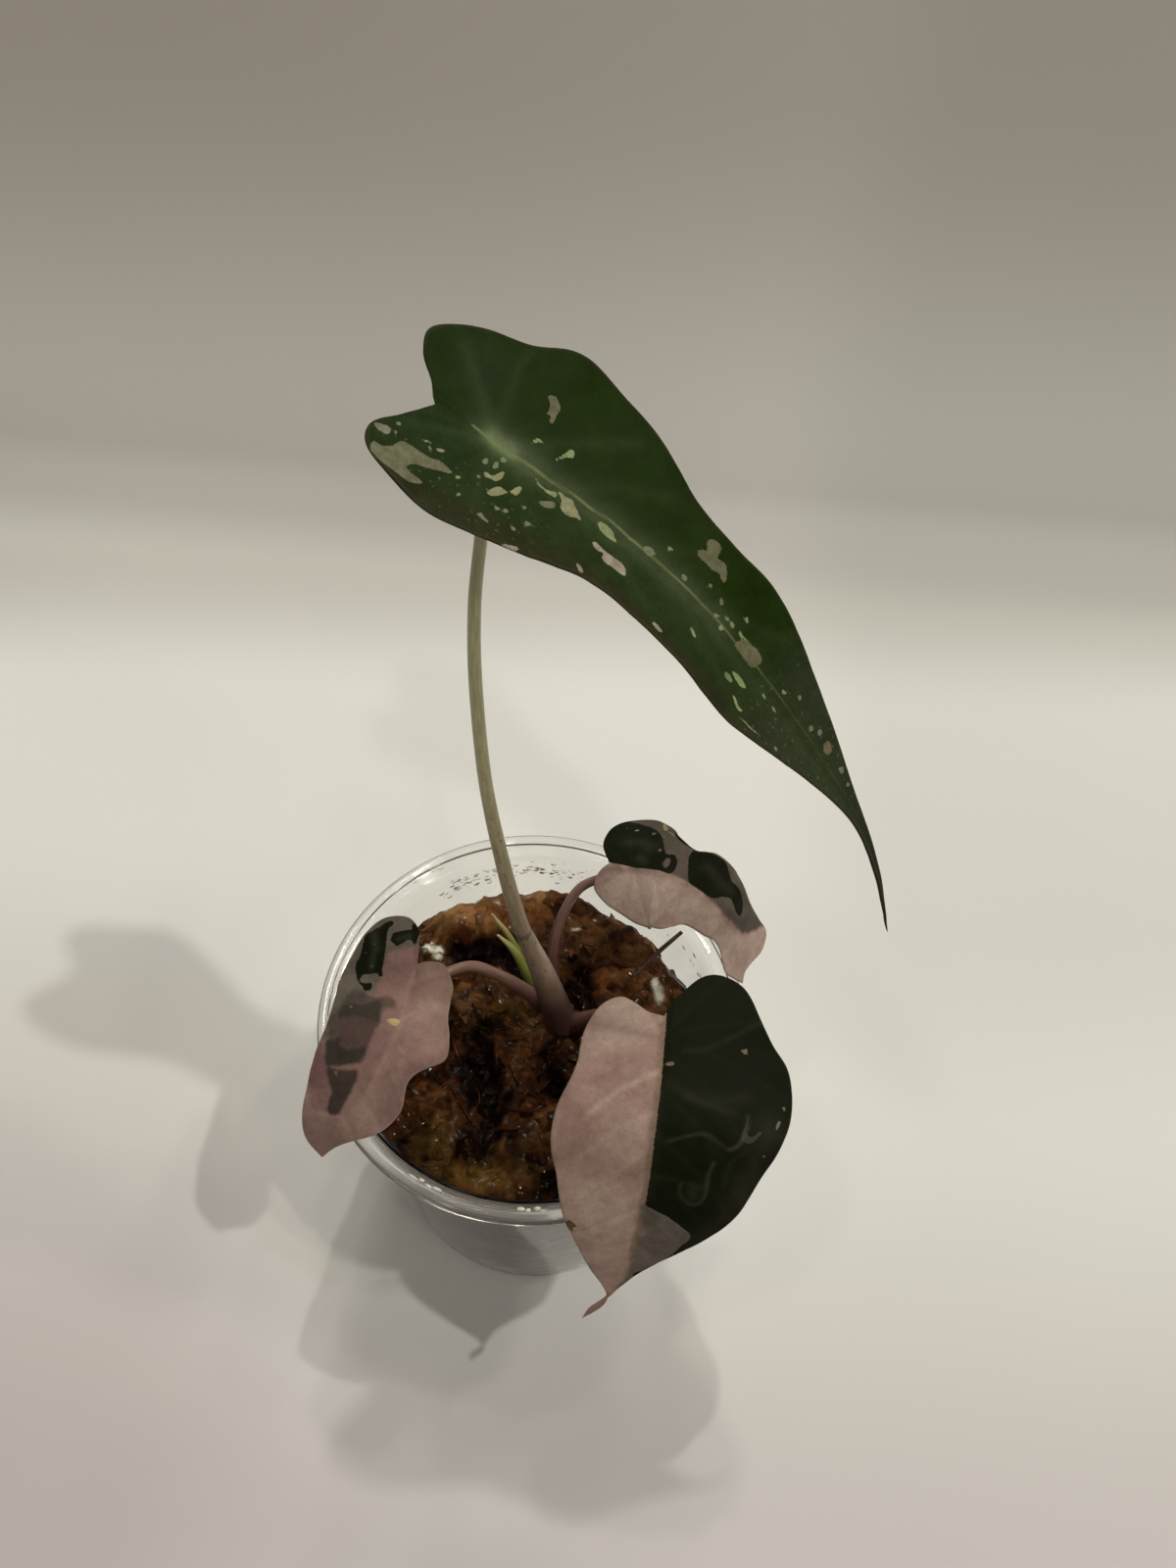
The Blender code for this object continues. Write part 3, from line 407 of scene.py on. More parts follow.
BACK_LEAF = Leaf(
    pose=[
        (16.5, 17.5, 85, 66, -50, -8, 0.012),
        (21, 16, 86.5, 66, -50, -8, 0.012),
        (26, 14.5, 85, 62, -44, -8, 0.012),
        (31.5, 12.5, 79.5, 55, -28, -10, 0.012),
        (34, 11.5, 75, 50, -10, -8, 0.008),
        (36.3, 6.5, 66.5, 50, 0, 0, 0),
    ],
    sinus=(-4.7, 0.2),
    left_edge=[
        (-7.8, 4.4), (-8.6, 8.4), (-8.1, 11), (-6.4, 13.2), (-4, 14.1), (-1.4, 13.6),
        (1.4, 12), (6.3, 8.9), (9.4, 7.2), (11.6, 8.1), (14, 9.2), (18.5, 9.2), (22.6, 6.8),
        (25.6, 7.3), (28.3, 8.2), (30.8, 6.2), (31.7, 3), (32.6, 1), (34.4, 0),
    ],
    right_edge=[
        (-6.8, -1.9), (-7.5, -4.4), (-5.4, -6.6), (-2.7, -7.8), (1.6, -9.4), (7.5, -9.9),
        (12.6, -9), (14.3, -7.2), (15.7, -5.6), (20.3, -4.5), (26, -3.4), (30.2, -3.4),
        (32.4, -1.9), (34.4, 0),
    ],
    wave=0.4,
    rows=170,
    columns=38,
    vein_starts=[3, 8.5, 14, 19.5, 25],
    lobe_veins=[80, 120, 150],
    rib=[(-6, 0.2), (34, 0)],
    # Its colours are pinks painted lighter than the front leaf's: painted light.
    ground="lit_back_rose",
    washes=[
        ("lit_back_pale", 0.8, 1.8, [(-4, -3), (-1, -5.5), (4, -4), (9, -2.8), (3, -1.4), (-2, -1.6)]),
        ("lit_back_mauve", 0.75, 1.3, [(-7.5, -1.5), (-5.4, -0.5), (-2.5, -0.4), (-5, -2.4),
         (-6.4, -4.6), (-7.6, -4)]),
        ("lit_back_mauve", 0.75, 1.1, [(10.6, -6.4), (12.6, -5.9), (14.2, -6.6), (13.2, -8.8),
         (10.4, -9.4)]),
        ("lit_back_mauve", 0.45, 1.2, [(-4, -7.5), (2, -9), (9, -9.5), (8, -10.8), (0, -10.5)]),
        ("lit_back_low", 0.8, 3, [(16, -6), (20, -6), (33, -4), (35, 3), (30, 9), (26, 4), (18, 0),
         (14, -1)]),
        ("brown", 0.75, 0.75, [(-5.5, -0.3), (3, -0.5), (10, -0.4), (18, 0), (22.6, -0.4),
         (24.4, 0.8), (26, 3), (24, 3.2), (18, 1.8), (-5.5, 1)]),
        ("smoke", 0.95, 0.35, [(-9.5, 4), (-5, 0.5), (-2.1, 0.35), (3.1, 0.2), (8.1, 0.2),
         (14.2, 0.4), (18.3, 0.4), (22.6, 0.5), (25, 1.9), (26.6, 4.3), (27, 6.6),
         (26.4, 9.6), (18, 12), (-4, 16), (-10, 12)]),
        ("pale_smoke", 0.5, 0.7, [(16.5, 9.6), (19.2, 7.4), (21.6, 6.6), (23, 8), (20, 10)]),
        ("dark_smoke", 0.45, 0.8, [(19.5, 1), (23, 1.2), (24.8, 3.4), (24, 5.2),
         (22.8, 2.4)]),
    ],
    lines=[
        ("lit_back_pale", 0.5, 0.4, [(-6.5, -3), (-4, -2), (0, -2.6), (3, -4.6)]),
        ("lit_back_mauve", 0.3, 0.4, [(9.6, -1), (11.4, -4), (12.6, -6.4)]),
    ],
    overlays_and_highlights=[
        ("leek", 0.075, 1.6, [(-3.5, 6.3), (-1.4, 6.4), (0.6, 5.4)]),
        ("leek", 0.085, 0.9, [(1.4, 1.6), (0, 2.4)]),
        ("smoke", 0.16, 1.2, [(12.5, 5), (16, 4.4), (19, 4.9)]),
    ],
    dark=[
        [(-5.2, 0.5), (-6.2, 1.8), (-7.9, 4.2), (-9, 6.4), (-9.2, 9), (-8.2, 11.5),
         (-6.8, 12.4), (-4.9, 12.2), (-2.9, 11.5), (-0.9, 10.7), (0.8, 9.3), (2.1, 7.6),
         (3.3, 5.8), (4.5, 4.1), (5.6, 4.4), (6.4, 4.2), (7, 2.9), (7, 1), (6.5, 0.2),
         (5.6, 0.1), (3.1, 0.1), (0.5, 0.1), (-2.1, 0.3)],
        [(9.6, 7), (11.4, 8), (13.7, 8.7), (15.8, 8.8), (17, 7.6), (18.2, 6.6), (20.2, 6.3),
         (21.3, 5.6), (22.2, 4.8), (22.7, 3.9), (22.7, 2.8), (21.8, 2.4), (20.7, 2.9),
         (19.3, 3.5), (17.5, 2.7), (16, 1.2), (14, 0.5), (11.9, 0.3), (10, 0.3),
         (9.1, 2.5), (8.7, 4.7), (8.9, 6.1)],
        [(3.8, 11.5), (6.5, 9.4), (9.2, 8), (9.4, 6.9), (6.3, 8), (3.8, 10)],
    ],
    dark_holes=[[(4.7, 2), (5, 3.2), (5.7, 3.1), (5.9, 2.3), (5.6, 1.1), (5, 1.1)]],
    patches=[
        ("gold", [(0.2, 12.4), (0.7, 11), (1.1, 10.4), (1.5, 11)]),
        ("gold", [(1.3, 10.5), (3, 9.5), (4.6, 8.6), (3, 9.8)]),
        ("gold", spot(-3.7, 9.7, 0.28, 1.8)),
        ("tan", spot(-0.1, 9.1, 0.42)),
        ("pale_smoke", spot(2.8, 4.8, 0.42)),
        ("pale_smoke", spot(1.9, 8.6, 0.35)),
        ("tan", spot(-5.7, 10, 0.2)),
    ],
)

FRONT_LEAF = Leaf(
    pose=[
        (22, -11.5, 80.5, -5, -12, 4, 0.005),
        (21.3, -20, 80, -5, -10, 4, 0.005),
        (20.3, -28, 76.8, -5, -3, 3, 0.004),
        (19.5, -34, 71, -5, 3, 2, 0.003),
        (18.2, -39.5, 62.5, -5, 6, 0, 0.002),
        (15.5, -43.5, 53, -5, 0, 0, 0),
        (10.5, -47, 48, -5, 0, 0, 0),
    ],
    sinus=(-3.8, -0.4),
    left_edge=[
        (-6.2, 0.6), (-8.5, 2.4), (-11.1, 4.9), (-12, 7.6), (-11.1, 10.8), (-9, 13.2),
        (-4.7, 15.6), (-0.5, 17.6), (3.2, 20), (6.8, 21), (10.5, 21), (14.2, 20),
        (18.9, 18.3), (23.9, 16.1), (28.7, 13.5), (32.3, 10.5), (36, 6.4), (40.3, 2.9),
        (44.7, 0.9), (47.2, 0.3), (48.4, 0.15), (49.9, 0.6), (51.9, 0.5), (54.5, 0),
    ],
    right_edge=[
        (-4.6, -3.1), (-6.4, -5.8), (-7.2, -8.2), (-5.7, -11.1), (-2.3, -13.1), (0.9, -13.7),
        (4.2, -13.8), (9.2, -14.9), (13.2, -15.8), (17.2, -16), (20.5, -15.6), (24.7, -14.3),
        (29.4, -12.9), (34, -11.1), (38.9, -8.2), (43.8, -5), (46.7, -2.2), (48, -0.6),
        (48.7, -0.25), (50.3, -0.45), (52.3, -0.6), (54.5, 0),
    ],
    wave=0.4,
    rows=230,
    columns=54,
    vein_starts=[2.5, 8.5, 15, 21.5, 28, 34.5],
    lobe_veins=[78, 112, 145],
    rib=[(-4, -0.3), (0, 0), (55, 0)],
    ground="rose",
    washes=[
        ("pale_rose", 0.75, 2.6, [(-7, -3), (-8, -8), (-4, -11), (0, -11), (1, -6), (-3, -1)]),
        ("pale_rose", 0.55, 1.6, [(-1.5, -5), (0.5, -12), (3, -12), (2.2, -6), (0.5, -3)]),
        ("pale_rose", 0.5, 2.2, [(14, -1.5), (15, -6), (19, -7), (21, -4), (20, -1.5)]),
        ("deep_rose", 0.3, 2, [(4, -2), (4, -8), (8, -11), (9, -6), (8, -2)]),
        ("deep_rose", 0.35, 1.6, [(12, -10), (14, -14.5), (22, -14), (20, -11)]),
        ("pale_rose", 0.8, 3, [(26, -1), (26, -12), (36, -9), (46, -2.5), (47, -0.5),
         (38, -0.5)]),
        ("earth", 0.75, 0.5, [(-3.4, -0.6), (4.6, -0.9), (12.3, -0.8), (22, -0.5), (29.8, -0.5),
         (38.3, -0.3), (40, 0.3), (38, 0.9), (20, 0.9), (-3.4, 0.6)]),
        ("tail", 0.9, 0.5, [(48.3, -1.5), (48.3, 1.5), (56, 1.5), (56, -1.5)]),
        ("haze", 0.96, 0.45, [(26.5, 0.55), (31.5, 0.8), (36, 0.7), (40, 0.5), (43.5, 0.6),
         (46, 0.2), (46, 4.5), (34, 13), (24, 14)]),
        ("pale_smoke", 0.55, 1.1, [(33.5, 1), (36, 3), (39.5, 2.6), (44, 0.8), (40, 0.6)]),
        ("dark_smoke", 0.3, 0.9, [(27.5, 0.8), (29.5, 3), (32, 3.4), (31, 1)]),
    ],
    lines=[
        ("pale_rose", 0.75, 0.55, [(5.9, -0.9), (7.6, -3.5), (9.5, -6.3), (11.7, -8.5),
         (14.5, -10.8)]),
        ("pale_rose", 0.55, 0.5, [(-3.2, -0.8), (-1.7, -3), (-0.3, -5.6), (0.6, -9.1),
         (0.9, -12.2)]),
        ("pale_rose", 0.45, 0.45, [(12.4, -0.8), (14.2, -3.6), (17, -7), (20.5, -10.5)]),
        ("pale_rose", 0.45, 0.45, [(18.4, -0.8), (20.1, -2.5), (22.9, -5.3), (26.5, -9)]),
        ("pale_rose", 0.4, 0.4, [(26.3, -0.8), (27.9, -1.9), (30.7, -4.1), (34, -7.2)]),
        ("deep_rose", 0.25, 0.8, [(3, -1), (4.5, -5), (7, -9), (8.5, -12.5)]),
    ],
    overlays_and_highlights=[
        # The grey lines along the saddle's outline and the green lines round the drop's rim are
        # painted highlights.
        ("smoke", 0.1, 0.9, [(7.4, 1), (9, 5), (9.2, 9.5), (8, 13.8)]),
        ("leek", 0.035, 0.5, [(2, 3.4), (1.2, 7), (-1.5, 11), (-4.8, 15.3)]),
        ("leek", 0.035, 0.5, [(22, 1.2), (22.1, 4.7), (22.6, 9.1)]),
        ("leek", 0.03, 0.5, [(15, 15), (18.5, 12.5), (22, 12)]),
        ("smoke", 0.1, 0.7, [(9.2, 0.4), (14.4, 0.5), (20.5, 0.7), (25.7, 0.9)]),
        ("smoke", 0.3, 0.28, [(16.2, 2.6), (14.9, 5.5), (14.3, 8), (15.3, 10.3), (16.1, 12.2),
         (14.9, 13.5), (12.4, 14.3)]),
        ("smoke", 0.35, 0.3, [(16, 12), (14.9, 13.5), (12.4, 14.3), (10.8, 14.2)]),
        ("smoke", 0.14, 0.55, [(9.2, 4.4), (10, 7.4), (10.6, 11.8)]),
        ("leek", 0.13, 0.3, [(22.6, 5.3), (23.8, 5.3), (25, 6), (25.7, 7.3), (25.1, 8.7),
         (23.4, 9.4), (20.6, 9.4), (18.6, 9.9)]),
        ("leek", 0.075, 1.1, [(23.4, 7.3), (24.2, 7.4)]),
        ("smoke", 0.16, 2.2, [(12, 17.8), (18, 16.6), (24, 14.6)]),
        ("smoke", 0.13, 1.6, [(31, 10.4), (27, 13.2), (33.5, 8.4)]),
    ],
    dark=[
        [(-14, -0.2), (-3.8, 0), (4.6, 0.1), (12.3, 0.2), (22, 0.4), (29.8, 0.4), (38.3, 0.4),
         (40.5, 0.5), (42, 1.2), (40.5, 6), (24, 22), (2, 24), (-16, 14)],
    ],
    dark_holes=[
        [(27.4, -1.5), (27.6, 0.8), (28.1, 2.5), (28.8, 4.5), (29.8, 6.2), (30.7, 7.6), (31.7, 8.4),
         (32.9, 7.9), (33.7, 7.3), (35.6, 6.2), (37.4, 5), (39.5, 3.2), (41.2, 1.7),
         (43.1, 0.7), (46, -1.5)],
    ],
    patches=[
        ("tan", spot(1.1, 12.9, 0.55)),
        ("scar", [(11.5, 14.3), (12.7, 14.2), (13.6, 14.7), (13.6, 15.4), (12.8, 16.1),
         (12.6, 16.7), (13.7, 16.1), (14.6, 15.1), (14.4, 13.7), (13, 13.7)]),
        ("tan", [(12, 18.7), (10.8, 19), (10.7, 19.5), (11.8, 19.1)]),
        ("tan", spot(8.8, 19.8, 0.3)),
        ("tan", spot(16.3, 17.5, 0.25)),
        ("tan", [(4.5, 0.3), (4, 1.3), (4.3, 2.1), (4.7, 1.3)]),
        ("olive", [(32, -11.2), (32.4, -10.4), (33.2, -9.6), (33.6, -10.2), (34.6, -10),
         (34, -10.8), (33.2, -11.6)]),
    ],
)

# Outlines of the two raised places on the front leaf's dark half
DROP_BULGE = [
    (14.5, 7.6), (17.0, 7.3), (21.1, 5.7), (23.2, 5.2), (24.6, 5.7), (25.6, 7.4),
    (24.7, 8.7), (22.9, 9.5), (20.6, 9.4), (18.9, 9.9), (16.6, 9.6), (14.8, 9.2),
]
SADDLE_BULGE = [
    (9.3, 0.4), (8.5, 1.9), (8.9, 5.7), (9.1, 9.5), (9.8, 11.5), (10.3, 14.0), (12.9, 14.3),
    (14.6, 13.6), (16.0, 12.3), (15.6, 10.8), (14.7, 8.7), (14.5, 6.5), (15.4, 4.4),
    (14.6, 2.4), (14.3, 0.6),
]

# Stalks: x, y, z and radius
TALL_STALK = [
    (5.0, 1.9, 50.4, 3.0), (5.0, 1.8, 56.5, 3.0), (4.6, 1.8, 60.0, 2.8), (3.3, 2.1, 67.0, 2.45),
    (1.6, 2.5, 75.6, 2.0), (-0.5, 2.9, 84.0, 1.55), (-2.0, 3.2, 90.7, 1.32), (-4.3, 4.0, 107.2, 1.15),
    (-6.3, 5.0, 126.7, 1.0), (-7.0, 6.0, 147.8, 0.92), (-6.65, 6.7, 162.6, 0.85),
    (-5.5, 7.3, 174.3, 0.8), (-4.5, 7.7, 182.7, 0.85), (-3.5, 8.0, 188.3, 1.0),
]
LEFT_STALK = [
    (3.2, 3.6, 50.4, 1.5), (3.0, 3.8, 54.8, 1.5), (1.2, 4.8, 59.0, 1.4),
    (-2.6, 5.4, 63.6, 1.2), (-6.4, 5.0, 68.6, 1.05), (-10.0, 4.1, 72.9, 0.95),
    (-13.4, 2.4, 74.4, 0.85), (-16.8, 0.0, 74.4, 0.8), (-18.7, -1.3, 75.2, 0.8),
    (-19.1, -1.6, 76.7, 0.9),
]
BACK_STALK = [
    (4.6, 8.6, 50.4, 1.3), (4.5, 8.9, 52.8, 1.3), (3.0, 12.4, 57.5, 1.2),
    (3.3, 14.9, 64.0, 1.0), (4.9, 17.1, 70.0, 0.9), (7.2, 18.7, 75.0, 0.85),
    (10.2, 18.9, 78.2, 0.8), (13.4, 18.3, 80.6, 0.8), (15.9, 17.7, 82.4, 0.8),
    (16.5, 17.6, 84.0, 0.7),
]
FRONT_STALK = [
    (6.2, 1.6, 50.4, 1.9), (7.0, 1.3, 57.0, 1.9), (10.4, -0.4, 63.9, 1.5),
    (13.7, -2.9, 71.0, 1.05), (17.4, -6.6, 75.0, 0.95), (20.4, -9.8, 77.0, 0.9),
    (21.8, -11.3, 78.6, 0.9), (22.0, -11.5, 80.2, 1.0),
]
SHOOT_SHEATH = [
    (0.6, 9.0, 50.4, 1.1), (0.5, 9.0, 52.8, 1.15), (-0.6, 9.4, 57.0, 1.2),
    (-1.9, 10.2, 61.5, 1.0), (-4.0, 11.7, 65.5, 0.65), (-6.6, 12.5, 69.0, 0.2),
]
SHOOT_SPIKE = [
    (0.5, 9.1, 53.0, 0.8), (-0.7, 9.8, 58.0, 0.8), (-2.6, 11.6, 63.0, 0.7),
    (-4.8, 13.4, 67.5, 0.5), (-6.8, 14.2, 71.0, 0.35), (-7.6, 14.4, 73.0, 0.12),
]


# Shapes


def smooth_path(points, steps, closed=False):
    """Points at even distances along a smooth curve through the given rows of numbers."""
    rows = np.asarray(points, float)
    if closed:
        ends = np.vstack([rows[-1], rows, rows[0], rows[1]])
    else:
        ends = np.vstack([2 * rows[0] - rows[1], rows, 2 * rows[-1] - rows[-2]])
    t = np.linspace(0, 1, 16, endpoint=False)[:, None]
    fine = []
    for a, b, c, d in zip(ends, ends[1:], ends[2:], ends[3:]):
        curve = 2 * b + (c - a) * t + (2 * a - 5 * b + 4 * c - d) * t**2
        fine.append(0.5 * (curve + (3 * b - a - 3 * c + d) * t**3))
    fine.append(rows[:1] if closed else rows[-1:])
    fine = np.vstack(fine)
    length = run_of(fine)
    wanted = np.linspace(0, length[-1], steps + 1)
    return np.stack([np.interp(wanted, length, column) for column in fine.T], -1)


def run_of(points):
    """Distance along a chain of points, from its first one."""
    return np.r_[0, np.cumsum(np.linalg.norm(np.diff(points[:, :3], axis=0), axis=1))]


def unit(vectors):
    return vectors / np.linalg.norm(vectors, axis=-1, keepdims=True)


def smoothstep(low, high, value):
    t = np.clip((value - low) / (high - low), 0, 1)
    return t * t * (3 - 2 * t)


def lattice(cells, seed):
    """A value from 0 to 1 for each whole-number cell."""
    n = cells[..., 0] * 73856093 + cells[..., 1] * 19349663 + cells[..., 2] * 83492791
    with np.errstate(over="ignore"):
        n = (n + seed * 2654435761) & 0xFFFFFFFF
        n = ((n ^ (n >> 15)) * 2246822519) & 0xFFFFFFFF
        n = ((n ^ (n >> 13)) * 3266489917) & 0xFFFFFFFF
    return ((n ^ (n >> 16)) & 0xFFFF) / 65535.0


def clouds(points, size, seed=0):
    """Smooth noise from -1 to 1 whose features have the given size."""
    place = np.asarray(points, float) / size
    if place.shape[-1] == 2:
        place = np.concatenate([place, np.zeros(place.shape[:-1] + (1,))], -1)
    cell = np.floor(place).astype(np.int64)
    t = place - cell
    t = t * t * t * (t * (t * 6 - 15) + 10)
    total = 0
    for corner in product((0, 1), repeat=3):
        weight = np.prod(np.where(corner, t, 1 - t), axis=-1)
        total = total + weight * lattice(cell + np.array(corner), seed)
    return 2 * total - 1


def distance_to_path(points, path):
    """Distance from each flat point to a chain of flat points."""
    best = np.full(points.shape[:-1], 1e9)
    for a, b in zip(path[:-1], path[1:]):
        along = b - a
        share = ((points - a) @ along) / max(along @ along, 1e-12)
        gap = points - a - np.clip(share, 0, 1)[..., None] * along
        best = np.minimum(best, np.linalg.norm(gap, axis=-1))
    return best


def outline_distance(points, outline):
    """Distance to a closed outline, which is negative inside it and at most FAR."""
    corners = np.asarray(outline, float)
    path = smooth_path(corners, 5 * len(corners), closed=True)
    low, high = path.min(0) - FAR, path.max(0) + FAR
    near = ((points > low) & (points < high)).all(-1)
    found = np.full(points.shape[:-1], FAR)
    some = points[near]
    if not len(some):
        return found
    inside = np.zeros(len(some), bool)
    for a, b in zip(path[:-1], path[1:]):
        if a[1] != b[1]:
            crosses = (a[1] > some[:, 1]) != (b[1] > some[:, 1])
            where = a[0] + (some[:, 1] - a[1]) * (b[0] - a[0]) / (b[1] - a[1])
            inside ^= crosses & (some[:, 0] < where)
    distance = np.minimum(distance_to_path(some, path), FAR)
    found[near] = np.where(inside, -distance, distance)
    return found


def areas_distance(points, areas, holes=()):
    """Distance to the nearest edge of several outlines with holes, negative inside."""
    found = np.full(points.shape[:-1], FAR)
    for outline in areas:
        found = np.minimum(found, outline_distance(points, outline))
    for outline in holes:
        found = np.maximum(found, -outline_distance(points, outline))
    return found


def grid_faces(rows, columns, first=0, closed=False):
    """Quads of a grid of points that is stored row by row, closed across its columns or not."""
    wide = columns if closed else columns - 1
    i, j = np.meshgrid(np.arange(rows - 1), np.arange(wide), indexing="ij")
    n = (j + 1) % columns
    quads = [i * columns + j, i * columns + n, (i + 1) * columns + n, (i + 1) * columns + j]
    return (first + np.stack(quads, -1)).reshape(-1, 4).tolist()


def lathe(profile, sides):
    """Points and faces of a profile of radius and height turned about Z."""
    profile = np.asarray(profile, float)
    turn = 2 * pi * np.arange(sides) / sides
    x = profile[:, :1] * np.cos(turn)
    y = profile[:, :1] * np.sin(turn)
    z = np.repeat(profile[:, 1:], sides, axis=1)
    return np.stack([x, y, z], -1).reshape(-1, 3), grid_faces(len(profile), sides, closed=True)


def tube(rows, sides, steps, ridges=0.0):
    """Points and faces of a round stem through rows of x, y, z and radius."""
    path = smooth_path(rows, steps)
    along = unit(np.gradient(path[:, :3], axis=0))
    across = unit(np.cross(along[0], (0.0, 1.0, 0.0)))
    turn = 2 * pi * np.arange(sides) / sides
    rings = []
    for place, heading in zip(path, along):
        across = unit(across - heading * (across @ heading))
        beside = np.cross(heading, across)
        reach = place[3] * (1 + ridges * np.cos(5 * turn))
        ring = np.outer(np.cos(turn) * reach, across) + np.outer(np.sin(turn) * reach, beside)
        rings.append(place[:3] + ring)
    points = np.vstack([*rings, path[:1, :3], path[-1:, :3]])
    faces = grid_faces(steps + 1, sides, closed=True)
    foot, head = len(points) - 2, len(points) - 1
    last = steps * sides
    for k in range(sides):
        n = (k + 1) % sides
        faces.append((foot, n, k))
        faces.append((head, last + k, last + n))
    return points, faces


def add_object(name, data):
    thing = bpy.data.objects.new(name, data)
    bpy.context.scene.collection.objects.link(thing)
    return thing


def smooth_mesh(name, points, faces, material):
    """A smooth mesh from points in millimetres."""
    mesh = bpy.data.meshes.new(name)
    mesh.from_pydata((np.asarray(points) * MM).tolist(), [], faces)
    mesh.materials.append(material)
    mesh.shade_smooth()
    return mesh


def make_piece(name, points, faces, material, nodes=(), attributes=None):
    """Makes a smooth piece from points in millimetres, and fits it to the frame."""
    mesh = smooth_mesh(name, points, faces, material)
    for key, values in (attributes or {}).items():
        values = np.asarray(values, np.float32)
        if values.ndim == 1:
            mesh.attributes.new(key, "FLOAT", "POINT").data.foreach_set("value", values)
        else:
            made = mesh.attributes.new(key, "FLOAT_VECTOR", "POINT")
            made.data.foreach_set("vector", values.ravel())
    piece = add_object(name, mesh)
    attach(piece, "root")
    if nodes:
        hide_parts(*nodes)
    return piece


# Blades


def blade_point(leaf, u, v):
    """The middle of the blade and its upward direction at distances along and across it."""
    pose = np.asarray(leaf.pose, float)
    fine = smooth_path(pose[:, :3], 200)
    run = run_of(fine)
    knots = [run[np.argmin(np.linalg.norm(fine - p, axis=1))] for p in pose[:, :3]]
    first, last = unit(fine[4] - fine[0]), unit(fine[-1] - fine[-5])
    centre = np.stack([np.interp(u, run, column) for column in fine.T], -1)
    centre = centre + np.multiply.outer(np.minimum(u, 0), first)
    centre = centre + np.multiply.outer(np.maximum(u - run[-1], 0), last)
    heading = unit(np.gradient(fine, axis=0))
    along = unit(np.stack([np.interp(u, run, column) for column in heading.T], -1))
    turn, right, left, bend = (np.interp(u, knots, pose[:, i]) for i in (3, 4, 5, 6))
    turn = np.radians(turn)
    across = np.stack([np.cos(turn), np.sin(turn), 0 * turn], -1)
    across = unit(across - along * (across * along).sum(-1, keepdims=True))
    up = np.cross(along, across)
    crease = smoothstep(-CREASE, CREASE, v)
    fold = np.radians(left * crease + right * (1 - crease))
    wave = leaf.wave * (v / WAVE_REACH) ** 2 * np.sin(2 * pi * u / WAVE_LENGTH + np.sign(v))
    rise = np.abs(v) * np.sin(fold) - bend * v**2 + wave
    return centre + across * (v * np.cos(fold))[..., None] + up * rise[..., None], up


def vein_paths(leaf):
    """Flat paths of the side veins: they leave the midrib and sweep on towards the tip."""
    t = np.linspace(0, 1, 9)
    paths = []
    for side in (1, -1):
        for start in leaf.vein_starts:
            u = start + 0.55 * VEIN_REACH * t + 0.28 * VEIN_REACH * t**2
            paths.append(np.stack([u, side * VEIN_REACH * t * (1 - 0.15 * t)], -1))
        for angle in leaf.lobe_veins:
            turn = radians(angle)
            u = LOBE_VEIN_REACH * t * cos(turn) + 3.0 * t**2
            paths.append(np.stack([u, side * LOBE_VEIN_REACH * t * sin(turn)], -1))
    return paths


def blade_grid(leaf):
    """Flat points row by row from the left margin to the right one, and distance from it."""
    length = leaf.left_edge[-1][0]
    share = np.linspace(0, 1, leaf.rows + 1)
    along = leaf.sinus[0] + (length - leaf.sinus[0]) * share**1.3
    off = leaf.sinus[1] * np.minimum(along, 0) / leaf.sinus[0]
    midrib = np.stack([along, off], -1)[:, None]
    reach = 1 - (1 - np.linspace(0, 1, leaf.columns + 1)) ** 1.25
    left = smooth_path([leaf.sinus, *leaf.left_edge], leaf.rows)[:, None]
    right = smooth_path([leaf.sinus, *leaf.right_edge], leaf.rows)[:, None]
    q = reach[::-1][None, :, None]
    left_half = midrib + (left - midrib) * q
    right_half = midrib + (right - midrib) * reach[None, 1:, None]
    flat = np.concatenate([left_half, right_half], 1)
    wide_left = np.linalg.norm(left - midrib, axis=-1) * (1 - reach[::-1])[None]
    wide_right = np.linalg.norm(right - midrib, axis=-1) * (1 - reach[1:])[None]
    return flat, np.concatenate([wide_left, wide_right], 1)


def blade_faces(rows, wide):
    """Faces of the two skins of a blade whose first and last rows are single points.

    The upper skin has every point. The lower one shares the margins and the ends.
    """
    count = 2 + (rows - 1) * wide
    upper = np.zeros((rows + 1, wide), int)
    upper[1:rows] = 1 + np.arange((rows - 1) * wide).reshape(rows - 1, wide)
    upper[rows] = count - 1
    lower = upper.copy()
    inner = (rows - 1) * (wide - 2)
    lower[1:rows, 1:-1] = count + np.arange(inner).reshape(rows - 1, wide - 2)
    faces = []
    for skin, turned in ((upper, False), (lower, True)):
        corners = [skin[:-1, :-1], skin[1:, :-1], skin[1:, 1:], skin[:-1, 1:]]
        if turned:
            corners.reverse()
        for face in np.stack(corners, -1).reshape(-1, 4).tolist():
            kept = list(dict.fromkeys(face))
            if len(kept) > 2:
                faces.append(kept)
    return faces


